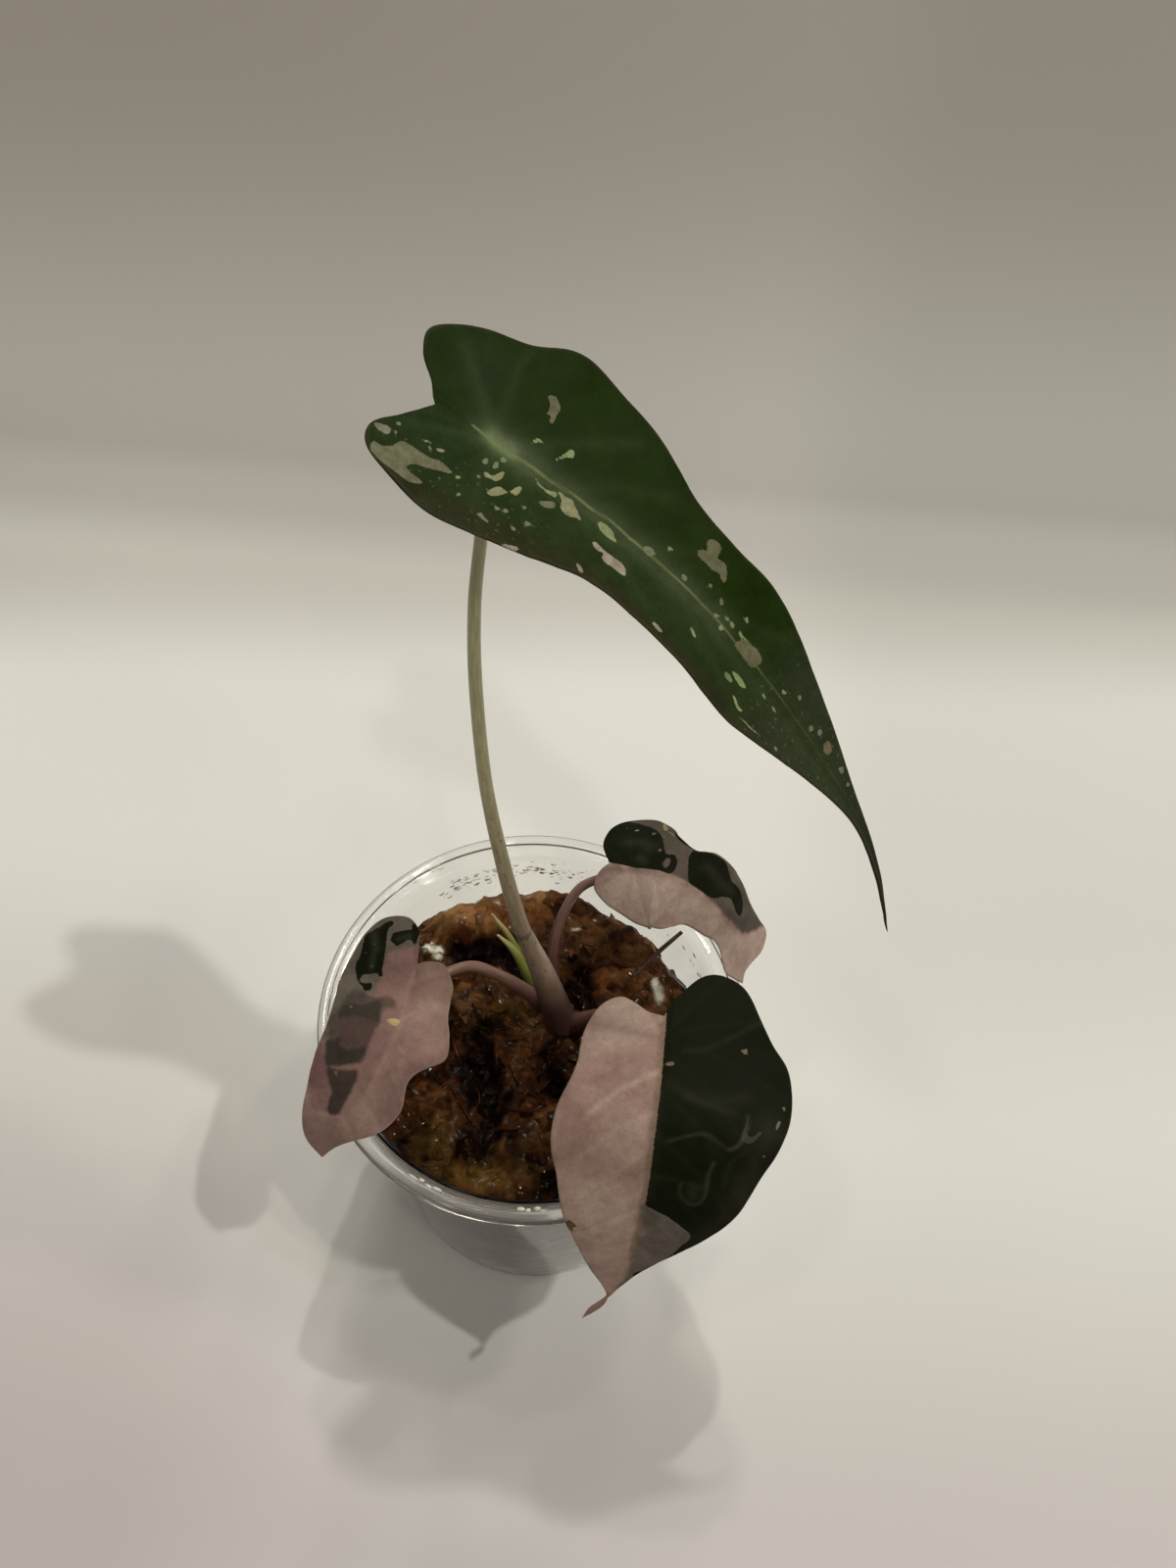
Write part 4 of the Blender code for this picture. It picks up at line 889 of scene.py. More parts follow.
def paint_ground(leaf, flat):
    """The soft colours of a blade at its flat points, and the colour and amount of its overlays, some
    of which are painted highlights.
    """
    wander = 0.30 * clouds(flat, 1.6, 5) + 0.18 * clouds(flat, 0.7, 6)
    ground = np.tile(MARK_COLOURS[leaf.ground], (len(flat), 1))
    for colour, amount, soft, outline in leaf.washes:
        gap = outline_distance(flat, outline) + wander * min(1.0, 2 * soft)
        share = (amount * smoothstep(soft, -soft, gap))[:, None]
        ground += share * (np.array(MARK_COLOURS[colour]) - ground)
    for colour, amount, width, path in leaf.lines:
        gap = distance_to_path(flat, smooth_path(path, 20))
        share = (amount * np.exp(-((gap / width) ** 2)))[:, None]
        ground += share * (np.array(MARK_COLOURS[colour]) - ground)
    over, left = np.zeros((len(flat), 3)), np.ones((len(flat), 1))
    for colour, amount, width, path in leaf.overlays_and_highlights:
        gap = distance_to_path(flat, smooth_path(path, 20))
        share = (amount * np.exp(-((gap / width) ** 2)))[:, None]
        over = over * (1 - share) + share * np.array(MARK_COLOURS[colour])
        left *= 1 - share
    overlay_and_highlight = 1 - left[:, 0]
    return ground, over / np.maximum(overlay_and_highlight, 1e-4)[:, None], overlay_and_highlight


def make_blade(name, node, leaf, material, sizes, relief):
    """A thin blade with a rounded margin, its midrib, veins and markings."""
    grid, margin = blade_grid(leaf)
    rows, wide = leaf.rows, 2 * leaf.columns + 1
    flat = np.concatenate([grid[0, :1], grid[1:rows].reshape(-1, 2), grid[rows, :1]])
    edge = np.concatenate([[0.0], margin[1:rows].ravel(), [0.0]])
    u, v = flat[:, 0], flat[:, 1]
    middle, up = blade_point(leaf, u, v)
    vein = np.full(len(flat), FAR)
    for path in vein_paths(leaf):
        vein = np.minimum(vein, distance_to_path(flat, path))
    length = leaf.left_edge[-1][0]
    rest = np.clip(1 - u / length, 0, 1)
    rounding = np.sqrt(1 - (1 - np.clip(edge / EDGE_ROUND, 0, 1)) ** 2)
    half = sizes.blade_thickness / MM / 2 * rounding
    depth = sizes.vein_depth / MM
    groove = -1.6 * depth * np.exp(-((v / 0.55) ** 2)) * rest
    groove -= depth * np.exp(-((vein / 0.45) ** 2)) * rounding
    quilt = 0.5 * depth * smoothstep(0.3, 2.2, vein)
    lumps = 0.10 * clouds(flat, 5.0, 3) + 0.035 * clouds(flat, 1.7, 4)
    high = (groove + quilt + lumps + relief(flat)) * rounding
    rib = 0.8 * np.exp(-((v / 0.6) ** 2)) * rest * np.clip(1 + u / 6.0, 0, 1)
    rib += 0.5 * depth * np.exp(-((vein / 0.5) ** 2)) * rounding
    upper = middle + up * (half + high)[:, None]
    lower = middle - up * (half - high + rib)[:, None]
    inner = np.ones((rows - 1, wide), bool)
    inner[:, [0, -1]] = False
    keep = np.r_[False, inner.ravel(), False]
    points = np.concatenate([upper, lower[keep]])
    ground, overlay_and_highlight_colour, overlay_and_highlight = paint_ground(leaf, flat)
    nearest, tint = np.full(len(flat), FAR), np.zeros((len(flat), 3))
    for colour, outline in leaf.patches:
        gap = outline_distance(flat, outline)
        closer = gap < nearest
        nearest[closer] = gap[closer]
        tint[closer] = MARK_COLOURS[colour]
    values = {
        "flat": np.column_stack([flat, np.zeros(len(flat))]),
        "margin": edge,
        "vein": vein,
        "rib": distance_to_path(flat, smooth_path(leaf.rib, 8)),
        "ground": ground,
        "overlay_and_highlight_colour": overlay_and_highlight_colour,
        "overlay_and_highlight": overlay_and_highlight,
        "patch": nearest,
        "patch_colour": tint,
        "dark": areas_distance(flat, leaf.dark, leaf.dark_holes),
    }
    values = {key: np.concatenate([value, value[keep]]) for key, value in values.items()}
    values["under"] = np.r_[np.zeros(len(flat)), np.ones(keep.sum())]
    faces = blade_faces(rows, wide)
    return make_piece(name, points, faces, material, [node], values)


def flat_relief(flat):
    return np.zeros(len(flat))


def front_relief(flat):
    """The long raised drop and the saddle on the dark half of the front leaf."""
    drop = outline_distance(flat, DROP_BULGE)
    saddle = outline_distance(flat, SADDLE_BULGE)
    return 0.30 * smoothstep(0.9, -1.2, drop) + 0.22 * smoothstep(1.2, -1.5, saddle)


# Shaders


class Shader:
    """Adds nodes to a tree and wires their inputs to values or to other nodes."""

    def __init__(self, tree):
        self.tree = tree

    def add(self, kind, inputs=None, out=0, **settings):
        node = self.tree.nodes.new(kind)
        for key, value in settings.items():
            setattr(node, key, value)
        for key, value in (inputs or {}).items():
            if isinstance(value, bpy.types.NodeSocket):
                self.tree.links.new(value, node.inputs[key])
            else:
                node.inputs[key].default_value = value
        return node.outputs[out]

    def value(self, name):
        return self.add("ShaderNodeAttribute", out="Fac", attribute_name=name)

    def vector(self, name):
        return self.add("ShaderNodeAttribute", out="Vector", attribute_name=name)

    def colour(self, name):
        return self.add("ShaderNodeAttribute", out="Color", attribute_name=name)

    def place(self):
        return self.add("ShaderNodeTexCoord", out="Object")

    def parts(self, vector):
        """The three numbers of a vector."""
        split = self.tree.nodes.new("ShaderNodeSeparateXYZ")
        self.tree.links.new(vector, split.inputs[0])
        return tuple(split.outputs)

    def noise(self, place, scale, detail=3.0, roughness=0.55):
        inputs = {"Vector": place, "Scale": scale, "Detail": detail, "Roughness": roughness}
        return self.add("ShaderNodeTexNoise", inputs)

    def ramp(self, value, low, high, first=0.0, last=1.0):
        inputs = {0: value, 1: low, 2: high, 3: first, 4: last}
        return self.add("ShaderNodeMapRange", inputs, interpolation_type="SMOOTHSTEP")

    def math(self, operation, *values):
        return self.add("ShaderNodeMath", dict(enumerate(values)), operation=operation)

    def mix(self, share, first, second, blend="MIX"):
        first = (*first, 1) if isinstance(first, tuple) and len(first) == 3 else first
        second = (*second, 1) if isinstance(second, tuple) and len(second) == 3 else second
        inputs = {0: share, 6: first, 7: second}
        return self.add("ShaderNodeMix", inputs, out=2, data_type="RGBA", blend_type=blend)

    def scaled(self, place, scale):
        inputs = {0: place, 1: scale}
        return self.add("ShaderNodeVectorMath", inputs, operation="MULTIPLY")

    def tinted(self, colour, tint):
        """A colour multiplied by another one or by a number."""
        return self.mix(1.0, colour, tint, "MULTIPLY")

    def group(self, name, inputs, out=0):
        return self.add("ShaderNodeGroup", inputs, out, node_tree=bpy.data.node_groups[name])

    def bump(self, height, strength, depth):
        inputs = {"Height": height, "Strength": strength, "Distance": depth}
        return self.add("ShaderNodeBump", inputs)

    def skin(self, colour, rough, bump=None, **more):
        """A surface shader. The names of more inputs have _ where the socket has a space."""
        inputs = {"Base Color": colour, "Roughness": rough}
        inputs.update({key.replace("_", " "): value for key, value in more.items()})
        if bump is not None:
            inputs["Normal"] = bump
        return self.add("ShaderNodeBsdfPrincipled", inputs)

    def finish(self, surface):
        output = self.tree.nodes.new("ShaderNodeOutputMaterial")
        self.tree.links.new(surface, output.inputs["Surface"])

    def finish_open(self, surface, share, tint=(1, 1, 1, 1)):
        """Ends the tree in a surface that a share of the rays pass through."""
        open_way = self.add("ShaderNodeBsdfTransparent", {"Color": tint})
        self.finish(self.add("ShaderNodeMixShader", {0: share, 1: surface, 2: open_way}))


def new_material(name):
    material = bpy.data.materials.new(name)
    material.use_nodes = True
    material.node_tree.nodes.clear()
    return material, Shader(material.node_tree)


def new_group(name, inputs, outputs):
    """An empty node group. An input with a value takes a number, and one with None a vector."""
    group = bpy.data.node_groups.new(name, "ShaderNodeTree")
    for key, value in inputs.items():
        kind = "NodeSocketVector" if value is None else "NodeSocketFloat"
        socket = group.interface.new_socket(key, in_out="INPUT", socket_type=kind)
        if value is not None:
            socket.default_value = value
    for key in outputs:
        group.interface.new_socket(key, in_out="OUTPUT", socket_type="NodeSocketFloat")
    shader = Shader(group)
    start = group.nodes.new("NodeGroupInput")
    end = group.nodes.new("NodeGroupOutput")
    return shader, start.outputs, end.inputs


def make_groups():
    """Builds the effects that several finishes share."""
    inputs = {"Distance": 0.0, "Place": None, "Ragged": 0.2, "Grain": 1.0, "Soft": 0.1}
    shader, given, result = new_group("Marked area", inputs, ["Mask"])
    wander = shader.noise(given["Place"], given["Grain"], 4.0, 0.6)
    wander = shader.math("MULTIPLY_ADD", wander, 2.0, -1.0)
    reach = shader.math("MULTIPLY_ADD", wander, given["Ragged"], given["Distance"])
    soft = shader.math("MULTIPLY", given["Soft"], -1.0)
    mask = shader.ramp(reach, soft, given["Soft"], 1.0, 0.0)
    shader.tree.links.new(mask, result["Mask"])

    inputs = {"Place": None, "Size": 1.0, "Amount": 0.5, "Soft": 0.06}
    shader, given, result = new_group("Flecks", inputs, ["Mask"])
    fine = shader.noise(given["Place"], given["Size"], 2.0, 0.5)
    low = shader.math("SUBTRACT", 1.0, given["Amount"])
    high = shader.math("ADD", low, given["Soft"])
    mask = shader.ramp(fine, low, high)
    shader.tree.links.new(mask, result["Mask"])

    inputs = {"Place": None, "Scale": 1.0}
    shader, given, result = new_group("Skin cells", inputs, ["Tone", "Height"])
    cells = shader.add(
        "ShaderNodeTexVoronoi", {"Vector": given["Place"], "Scale": given["Scale"]}, out="Distance"
    )
    broad = shader.math("MULTIPLY", given["Scale"], 0.16)
    mottle = shader.noise(given["Place"], broad, 4.0, 0.65)
    tone = shader.math("MULTIPLY_ADD", cells, -0.35, mottle)
    tone = shader.math("ADD", tone, 0.18)
    height = shader.math("SUBTRACT", 1.0, cells)
    shader.tree.links.new(tone, result["Tone"])
    shader.tree.links.new(height, result["Height"])


def marked(shader, distance, place, ragged, grain, soft):
    inputs = {
        "Distance": distance, "Place": place, "Ragged": ragged, "Grain": grain, "Soft": soft,
    }
    return shader.group("Marked area", inputs)


def leaf_finish(name, colours, adult):
    """The skin of a blade: its ground with its overlays, some of them painted highlights, its marked
    areas and its underside.
    """
    material, shader = new_material(name)
    flat, margin = shader.vector("flat"), shader.value("margin")
    cells = {"Place": flat, "Scale": 4.0}
    tone, height = (shader.group("Skin cells", cells, out) for out in ("Tone", "Height"))
    broad = shader.ramp(shader.noise(flat, 0.22, 2.0), 0.25, 0.75, 0.88, 1.12)
    ground = shader.tinted(shader.colour("ground"), broad)
    if adult:
        colour = adult_marks(shader, flat, margin, ground)
        under_colour = tuple(colours.underside)
    else:
        colour = young_marks(shader, flat, margin, ground, colours)
        under_colour = tuple(0.7 * c for c in colours.pink)
    patch = marked(shader, shader.value("patch"), flat, 0.16, 2.6, 0.05)
    bright = shader.ramp(shader.noise(flat, 1.1, 3.0), 0.3, 0.7, 0.84, 1.16)
    colour = shader.mix(patch, colour, shader.tinted(shader.colour("patch_colour"), bright))
    mottled = shader.tinted(colour, shader.ramp(tone, 0.2, 0.8, 0.86, 1.14))
    below = shader.ramp(shader.value("under"), 0.4, 0.6)
    mottled = shader.mix(below, mottled, under_colour)
    fine = shader.noise(flat, 9.0, 2.0)
    height = shader.math("MULTIPLY_ADD", fine, 0.6, height)
    bump = shader.bump(height, 0.35, 0.00008)
    smooth = 0.42 if adult else 0.46
    rough = shader.ramp(tone, 0.2, 0.8, smooth, smooth + 0.12)
    shader.finish(shader.skin(mottled, rough, bump, IOR=1.42, Specular_IOR_Level=0.05))
    return material


def adult_marks(shader, flat, margin, ground):
    """The green of the tall leaf with its pale midrib, its dull rim and its dusted places."""
    u, v, _ = shader.parts(flat)
    colour = shader.mix(shader.value("overlay_and_highlight"), ground, shader.colour("overlay_and_highlight_colour"))
    rib = shader.value("rib")
    over = shader.math("SUBTRACT", rib, shader.ramp(u, 0.0, 50.0, 0.20, 0.07))
    line = marked(shader, over, flat, 0.05, 1.5, 0.13)
    line = shader.math("MULTIPLY", line, shader.ramp(u, 34.0, 58.0, 0.9, 0.25))
    colour = shader.mix(line, colour, (0.160, 0.195, 0.085))
    tip = shader.ramp(u, 56.0, 68.0, 0.0, 0.8)
    colour = shader.mix(tip, colour, (0.032, 0.030, 0.020))
    end = shader.ramp(u, 82.0, 85.0)
    colour = shader.mix(end, colour, (0.16, 0.12, 0.07))
    far = shader.math("MULTIPLY", shader.ramp(u, 36.0, 48.0, 0.0, 0.5), shader.ramp(u, 70.0, 60.0))
    colour = shader.mix(far, colour, (0.040, 0.052, 0.028))
    rim = shader.ramp(margin, 0.1, 0.7, 0.55, 0.0)
    colour = shader.mix(rim, colour, (0.050, 0.042, 0.022))
    low_side = shader.math("MULTIPLY", shader.ramp(v, -4.5, -6.5), shader.ramp(u, 14.0, 8.0))
    far_side = shader.math("MULTIPLY", shader.ramp(v, 7.5, 3.5), shader.ramp(u, 38.0, 41.0))
    far_side = shader.math("MULTIPLY", far_side, shader.ramp(u, 63.0, 59.0))
    zone = shader.math("MAXIMUM", low_side, far_side)
    flecks = shader.group("Flecks", {"Place": flat, "Size": 1.5, "Amount": 0.36})
    flecks = shader.math("MULTIPLY", flecks, zone)
    return shader.mix(shader.math("MULTIPLY", flecks, 0.65), colour, (0.115, 0.128, 0.072))


def young_marks(shader, flat, margin, ground, colours):
    """The pink of a small leaf under its dark areas, with a pale rim, and the overlays on the dark
    areas, some of them painted highlights.
    """
    rim = shader.ramp(margin, 0.10, 0.40, 0.45, 0.0)
    colour = shader.mix(rim, ground, (0.42, 0.33, 0.25))
    dark = marked(shader, shader.value("dark"), flat, 0.28, 1.8, 0.09)
    between = shader.ramp(shader.value("vein"), 0.1, 1.0, 0.12, 0.0)
    dark_tone = shader.mix(between, tuple(colours.dark), (0.020, 0.024, 0.012))
    colour = shader.mix(dark, colour, dark_tone)
    colour = shader.mix(shader.math("MULTIPLY", rim, 0.35), colour, (0.14, 0.11, 0.075))
    overlay_and_highlight = shader.math("MULTIPLY", shader.value("overlay_and_highlight"), dark)
    return shader.mix(overlay_and_highlight, colour, shader.colour("overlay_and_highlight_colour"))


def stalk_finish(name, low_colour, high_colour, fleck_colour, low, high, foot_end, ring=None):
    """A stalk that changes colour along its length, with brown flecks."""
    material, shader = new_material(name)
    flat = shader.vector("flat")
    run = shader.value("run")
    streaks = shader.noise(shader.scaled(flat, (0.25, 1.5, 1.5)), 1.0, 4.0)
    share = shader.ramp(run, low, high)
    colour = shader.mix(share, low_colour, high_colour)
    colour = shader.tinted(colour, shader.ramp(streaks, 0.2, 0.8, 0.75, 1.2))
    foot = shader.ramp(run, 0.4 * foot_end, foot_end, 0.95, 0.0)
    colour = shader.mix(foot, colour, (0.060, 0.022, 0.022))
    place = shader.scaled(flat, (0.9, 1.6, 1.6))
    flecks = shader.group("Flecks", {"Place": place, "Size": 1.0, "Amount": 0.37})
    fading = shader.ramp(run, low + 0.4 * (high - low), high, 0.75, 0.15)
    colour = shader.mix(shader.math("MULTIPLY", flecks, fading), colour, fleck_colour)
    if ring:
        away = shader.math("ABSOLUTE", shader.math("SUBTRACT", run, ring))
        band = shader.ramp(away, 0.25, 0.7, 0.7, 0.0)
        colour = shader.mix(band, colour, fleck_colour)
    fine = shader.noise(shader.scaled(flat, (1.0, 4.0, 4.0)), 1.5, 3.0)
    bump, rough = shader.bump(fine, 0.3, 0.0001), shader.ramp(streaks, 0.2, 0.8, 0.32, 0.5)
    inner = {"Subsurface_Weight": 0.08, "Subsurface_Scale": 0.0006}
    shader.finish(shader.skin(colour, rough, bump, **inner))
    return material


def shoot_finish():
    """Yellow-green young sheath that turns cream at its tip."""
    material, shader = new_material("young shoot")
    flat = shader.vector("flat")
    share = shader.ramp(shader.value("run"), 13.0, 21.0)
    colour = shader.mix(share, (0.20, 0.23, 0.045), (0.50, 0.44, 0.20))
    streaks = shader.noise(shader.scaled(flat, (0.3, 2.5, 2.5)), 1.0, 4.0)
    colour = shader.tinted(colour, shader.ramp(streaks, 0.2, 0.8, 0.7, 1.2))
    foot = shader.ramp(shader.value("run"), 5.0, 10.0, 0.8, 0.0)
    colour = shader.mix(foot, colour, (0.10, 0.055, 0.022))
    bump, rough = shader.bump(streaks, 0.3, 0.0001), shader.ramp(streaks, 0.2, 0.8, 0.3, 0.48)
    inner = {"Subsurface_Weight": 0.15, "Subsurface_Scale": 0.0008}
    shader.finish(shader.skin(colour, rough, bump, **inner))
    return material


def moss_finish(name, colours, wet):
    """Wet moss from near black through brown to gold, with an olive share and pale places that are
    painted glints. The near black of the hollows is partly painted shade.
    """
    material, shader = new_material(name)
    flat = shader.vector("flat")
    fine = shader.noise(flat, 0.55, 4.0, 0.6)
    black, brown, gold, olive = (
        tuple(getattr(colours, f"moss_{tone}")) for tone in ("black", "brown", "gold", "olive")
    )
    dim = shader.math("SUBTRACT", shader.value("tone"), 0.45)
    value = shader.math("MULTIPLY_ADD", fine, 0.9, dim)
    colour = shader.mix(shader.ramp(value, 0.02, 0.36), black, brown)
    colour = shader.mix(shader.ramp(value, 0.34, 0.80), colour, gold)
    colour = shader.mix(shader.ramp(value, 0.78, 1.10), colour, (0.25, 0.130, 0.052))
    olive = shader.mix(shader.ramp(value, 0.05, 0.75), (0.012, 0.006, 0.001), olive)
    colour = shader.mix(shader.math("MULTIPLY", shader.value("olive"), 0.8), colour, olive)
    red = shader.ramp(shader.noise(flat, 0.25, 3.0), 0.48, 0.66, 0.0, 0.35)
    colour = shader.mix(red, colour, shader.tinted(colour, (1.25, 0.62, 0.55)))
    grain = shader.noise(flat, 4.0, 3.0, 0.6)
    colour = shader.tinted(colour, shader.ramp(grain, 0.25, 0.75, 0.86, 1.14))
    # The pale places are painted near white: painted highlights.
    painted_glint = shader.math("MULTIPLY_ADD", grain, 1.0, shader.value("painted_glint"))
    colour = shader.mix(shader.ramp(painted_glint, 0.80, 1.45), colour, (0.72, 0.68, 0.55))
    height = shader.math("MULTIPLY_ADD", grain, 0.2, fine)
    wetness = shader.ramp(fine, 0.40, 0.60, 1.0 * wet, 0.10 * wet)
    water = shader.math("MULTIPLY", wetness, shader.ramp(value, 0.0, 0.3, 0.15, 1.0))
    shader.finish(shader.skin(
        colour, 0.6, shader.bump(height, 0.55, 0.0004), Specular_IOR_Level=0.05,
        Coat_Weight=water, Coat_Roughness=0.07, Coat_IOR=1.33,
    ))
    return material


def bark_finish(name, dark, light):
    """Rough brown bark with pale cracks."""
    material, shader = new_material(name)
    place = shader.place()
    broad = shader.noise(place, 500.0, 5.0, 0.65)
    fine = shader.noise(place, 2600.0, 3.0)
    colour = shader.mix(shader.ramp(broad, 0.3, 0.7), dark, light)
    colour = shader.tinted(colour, shader.ramp(fine, 0.3, 0.7, 0.75, 1.2))
    bump = shader.bump(shader.math("MULTIPLY_ADD", fine, 0.4, broad), 0.6, 0.0003)
    shader.finish(shader.skin(colour, shader.ramp(broad, 0.3, 0.7, 0.45, 0.75), bump))
    return material


def clear_finish(name, tint, index, smooth, rough, stretch=(1, 1, 1)):
    """Clear plastic or water that lets the light of the lamps through."""
    material, shader = new_material(name)
    cloud = shader.noise(shader.scaled(shader.place(), stretch), 300.0, 4.0, 0.6)
    bump, roughness = shader.bump(cloud, 0.15, 0.0001), shader.ramp(cloud, 0.3, 0.7, smooth, rough)
    clear = shader.skin((*tint, 1), roughness, bump, IOR=index, Transmission_Weight=1.0)
    shadow = shader.add("ShaderNodeLightPath", out="Is Shadow Ray")
    shader.finish_open(clear, shadow, (0.90, 0.90, 0.885, 1))
    return material


def mist_finish(name, dark, light):
    """A film of condensation: fine level streaks, pale dashes, and at its foot a dark red band that
    is partly moss water and partly painted contact shadow. Near its top it is painted paler, as
    painted light.
    """
    material, shader = new_material(name)
    place = shader.place()
    high = shader.parts(place)[2]
    cloud = shader.noise(place, 90.0, 5.0, 0.6)
    lines = shader.noise(shader.scaled(place, (0.3, 0.3, 2.6)), 260.0, 4.0, 0.65)
    low = shader.ramp(high, 0.046, 0.012)
    streak = shader.math("MULTIPLY_ADD", low, 0.14, shader.math("MULTIPLY_ADD", cloud, 0.4, lines))
    colour = shader.mix(shader.ramp(streak, 0.70, 1.05), dark, light)
    # Painted light: near its top the film is painted paler, which lightens the band between the moss
    # and the rim.
    colour = shader.mix(shader.ramp(high, 0.054, 0.058), colour, (0.42, 0.345, 0.28))
    marks = shader.noise(shader.scaled(place, (0.8, 0.8, 3.0)), 420.0, 1.0, 0.4)
    marks = shader.math("MULTIPLY_ADD", cloud, 0.18, marks)
    dashes = shader.ramp(marks, 0.735, 0.790, 0.0, 0.8)
    colour = shader.mix(dashes, colour, (0.66, 0.63, 0.57))
    # The dark red band at the foot is partly moss water and partly painted contact shadow.
    foot_stain_and_shadow = shader.ramp(high, 0.0062, 0.0040)
    foot_stain_and_shadow = shader.math("MULTIPLY", foot_stain_and_shadow, shader.ramp(cloud, 0.44, 0.52))
    colour = shader.mix(foot_stain_and_shadow, colour, (0.075, 0.022, 0.018))
    alpha = shader.math("MAXIMUM", shader.ramp(streak, 0.60, 0.95, 0.35, 0.80), dashes)
    alpha = shader.math("MAXIMUM", alpha, shader.math("MULTIPLY", foot_stain_and_shadow, 0.9))
    bump, rough = shader.bump(lines, 0.6, 0.0003), shader.ramp(cloud, 0.3, 0.7, 0.45, 0.7)
    shader.finish(shader.skin(colour, rough, bump, Alpha=alpha, Specular_IOR_Level=0.1))
    return material


def paper_finish(colours):
    """Matt white paper, painted with broad ramps of the room's light and shade. Its back lets a
    camera look through it, and it lets the lamps through.
    """
    material, shader = new_material("studio paper")
    place = shader.place()
    x, y, z = shader.parts(place)
    broad = shader.ramp(shader.noise(place, 6.0, 2.0), 0.3, 0.7, 0.985, 1.015)
    colour = shader.tinted((*colours.paper, 1), broad)
    # Painted light and shade of the room: the paper is painted darker towards the front, at the left
    # towards the front and at the right towards the back, darker where the floor meets the bend and
    # lighter up the bend, darker on the wall's left than on its right, and darker high on the wall.
    left = shader.math("MULTIPLY", shader.ramp(x, -0.015, -0.085), shader.ramp(y, 0.08, 0.0))
    right = shader.math("MULTIPLY", shader.ramp(x, 0.045, 0.085), shader.ramp(y, 0.0, 0.06))
    bend = shader.mix(shader.ramp(z, 0.001, 0.019), (0.70, 0.69, 0.67), (1.16, 1.145, 1.13))
    wall = shader.mix(shader.ramp(x, -0.06, 0.09), (0.955, 0.94, 0.93), (1.04, 1.035, 1.03))
    painted_light_and_shade = [
        (shader.ramp(y, 0.02, -0.075), (0.82, 0.775, 0.785)),
        (left, (0.88, 0.85, 0.855)),
        (right, (0.90, 0.905, 0.90)),
        (shader.ramp(y, 0.116, 0.158), bend),
        (shader.ramp(z, 0.0005, 0.006), wall),
        (shader.ramp(z, 0.040, 0.135), (0.775, 0.75, 0.73)),
    ]
    for share, tint in painted_light_and_shade:
        colour = shader.tinted(colour, shader.mix(share, (1.0, 1.0, 1.0), tint))
    bump = shader.bump(shader.noise(place, 900.0, 4.0), 0.1, 0.0001)
    skin = shader.skin(colour, 0.9, bump, Specular_IOR_Level=0.15)
    behind = shader.add("ShaderNodeNewGeometry", out="Backfacing")
    seen = shader.add("ShaderNodeLightPath", out="Is Camera Ray")
    shadow = shader.add("ShaderNodeLightPath", out="Is Shadow Ray")
    shader.finish_open(skin, shader.math("MAXIMUM", shader.math("MULTIPLY", behind, seen), shadow))
    return material


# Stage

LIGHTS = {
    "lamp_right": ((0.43, -0.12, 1.0), 0.28, 0.045),
    "lamp_back": ((0.08, 0.28, 1.0), 0.20, 0.045),
    "lamp_far_back": ((0.03, 0.46, 1.0), 0.10, 0.10),
    "lamp_front": ((0.13, -0.48, 1.0), 0.11, 0.08),
    "lamp_far_right": ((0.54, 0.08, 1.0), 0.09, 0.10),
    "lamp_right_back": ((0.30, 0.14, 1.0), 0.05, 0.10),
    "lamp_left": ((-0.25, -0.18, 1.0), 0.055, 0.12),
    "lamp_low_back": ((0.02, 0.91, 1.0), 0.05, 0.2),
    "lamp_low_front": ((0.74, -0.65, 1.0), 0.045, 0.2),
    "lamp_high_right": ((0.30, 0.36, 1.0), 0.03, 0.12),
}
LAMP_DISTANCE = 2.0
KEY_SHARE = 0.15  # lamps with more than this share of the light have the key's colour
KEY_COLOUR = (1.0, 0.995, 0.91)
FILL_COLOUR = (1.0, 0.955, 0.83)
BACK_BEND = (6.0, 155.5)  # a point of the line where the paper starts to rise
BACK_TURN = -3.1
BEND_RADIUS = 20.0
PAPER_TOP = 230.0
PAPER_REACH = 800.0
PAPER_COLUMNS = 17


def make_camera():
    pitch, roll = radians(CAMERA_PITCH), radians(CAMERA_ROLL)
    forward = Vector((0, cos(pitch), -sin(pitch)))
    up = Vector((0, sin(pitch), cos(pitch)))
    right = Vector((1, 0, 0))
    x_axis = right * cos(roll) + up * sin(roll)
    y_axis = up * cos(roll) - right * sin(roll)
    data = bpy.data.cameras.new("camera")
    data.lens = CAMERA_LENS
    data.sensor_width = SENSOR
    data.clip_start = 0.005
    camera = add_object("camera", data)
    turn = Matrix((x_axis, y_axis, -forward)).transposed()
    camera.matrix_world = Matrix.Translation(Vector(CAMERA_PLACE) * MM) @ turn.to_4x4()
    bpy.context.scene.camera = camera


def make_lamp(name, towards, share, width, level):
    """A round lamp that gives the floor its share of a light level."""
    way = Vector(towards).normalized()
    data = bpy.data.lights.new(name, "AREA")
    data.shape = "DISK"
    data.size = width
    data.color = KEY_COLOUR if share > KEY_SHARE else FILL_COLOUR
    data.energy = share * level * pi**2 * LAMP_DISTANCE**2 / way.z
    lamp = add_object(name, data)
    lamp.location = way * LAMP_DISTANCE
    lamp.rotation_euler = way.to_track_quat("Z", "Y").to_euler()


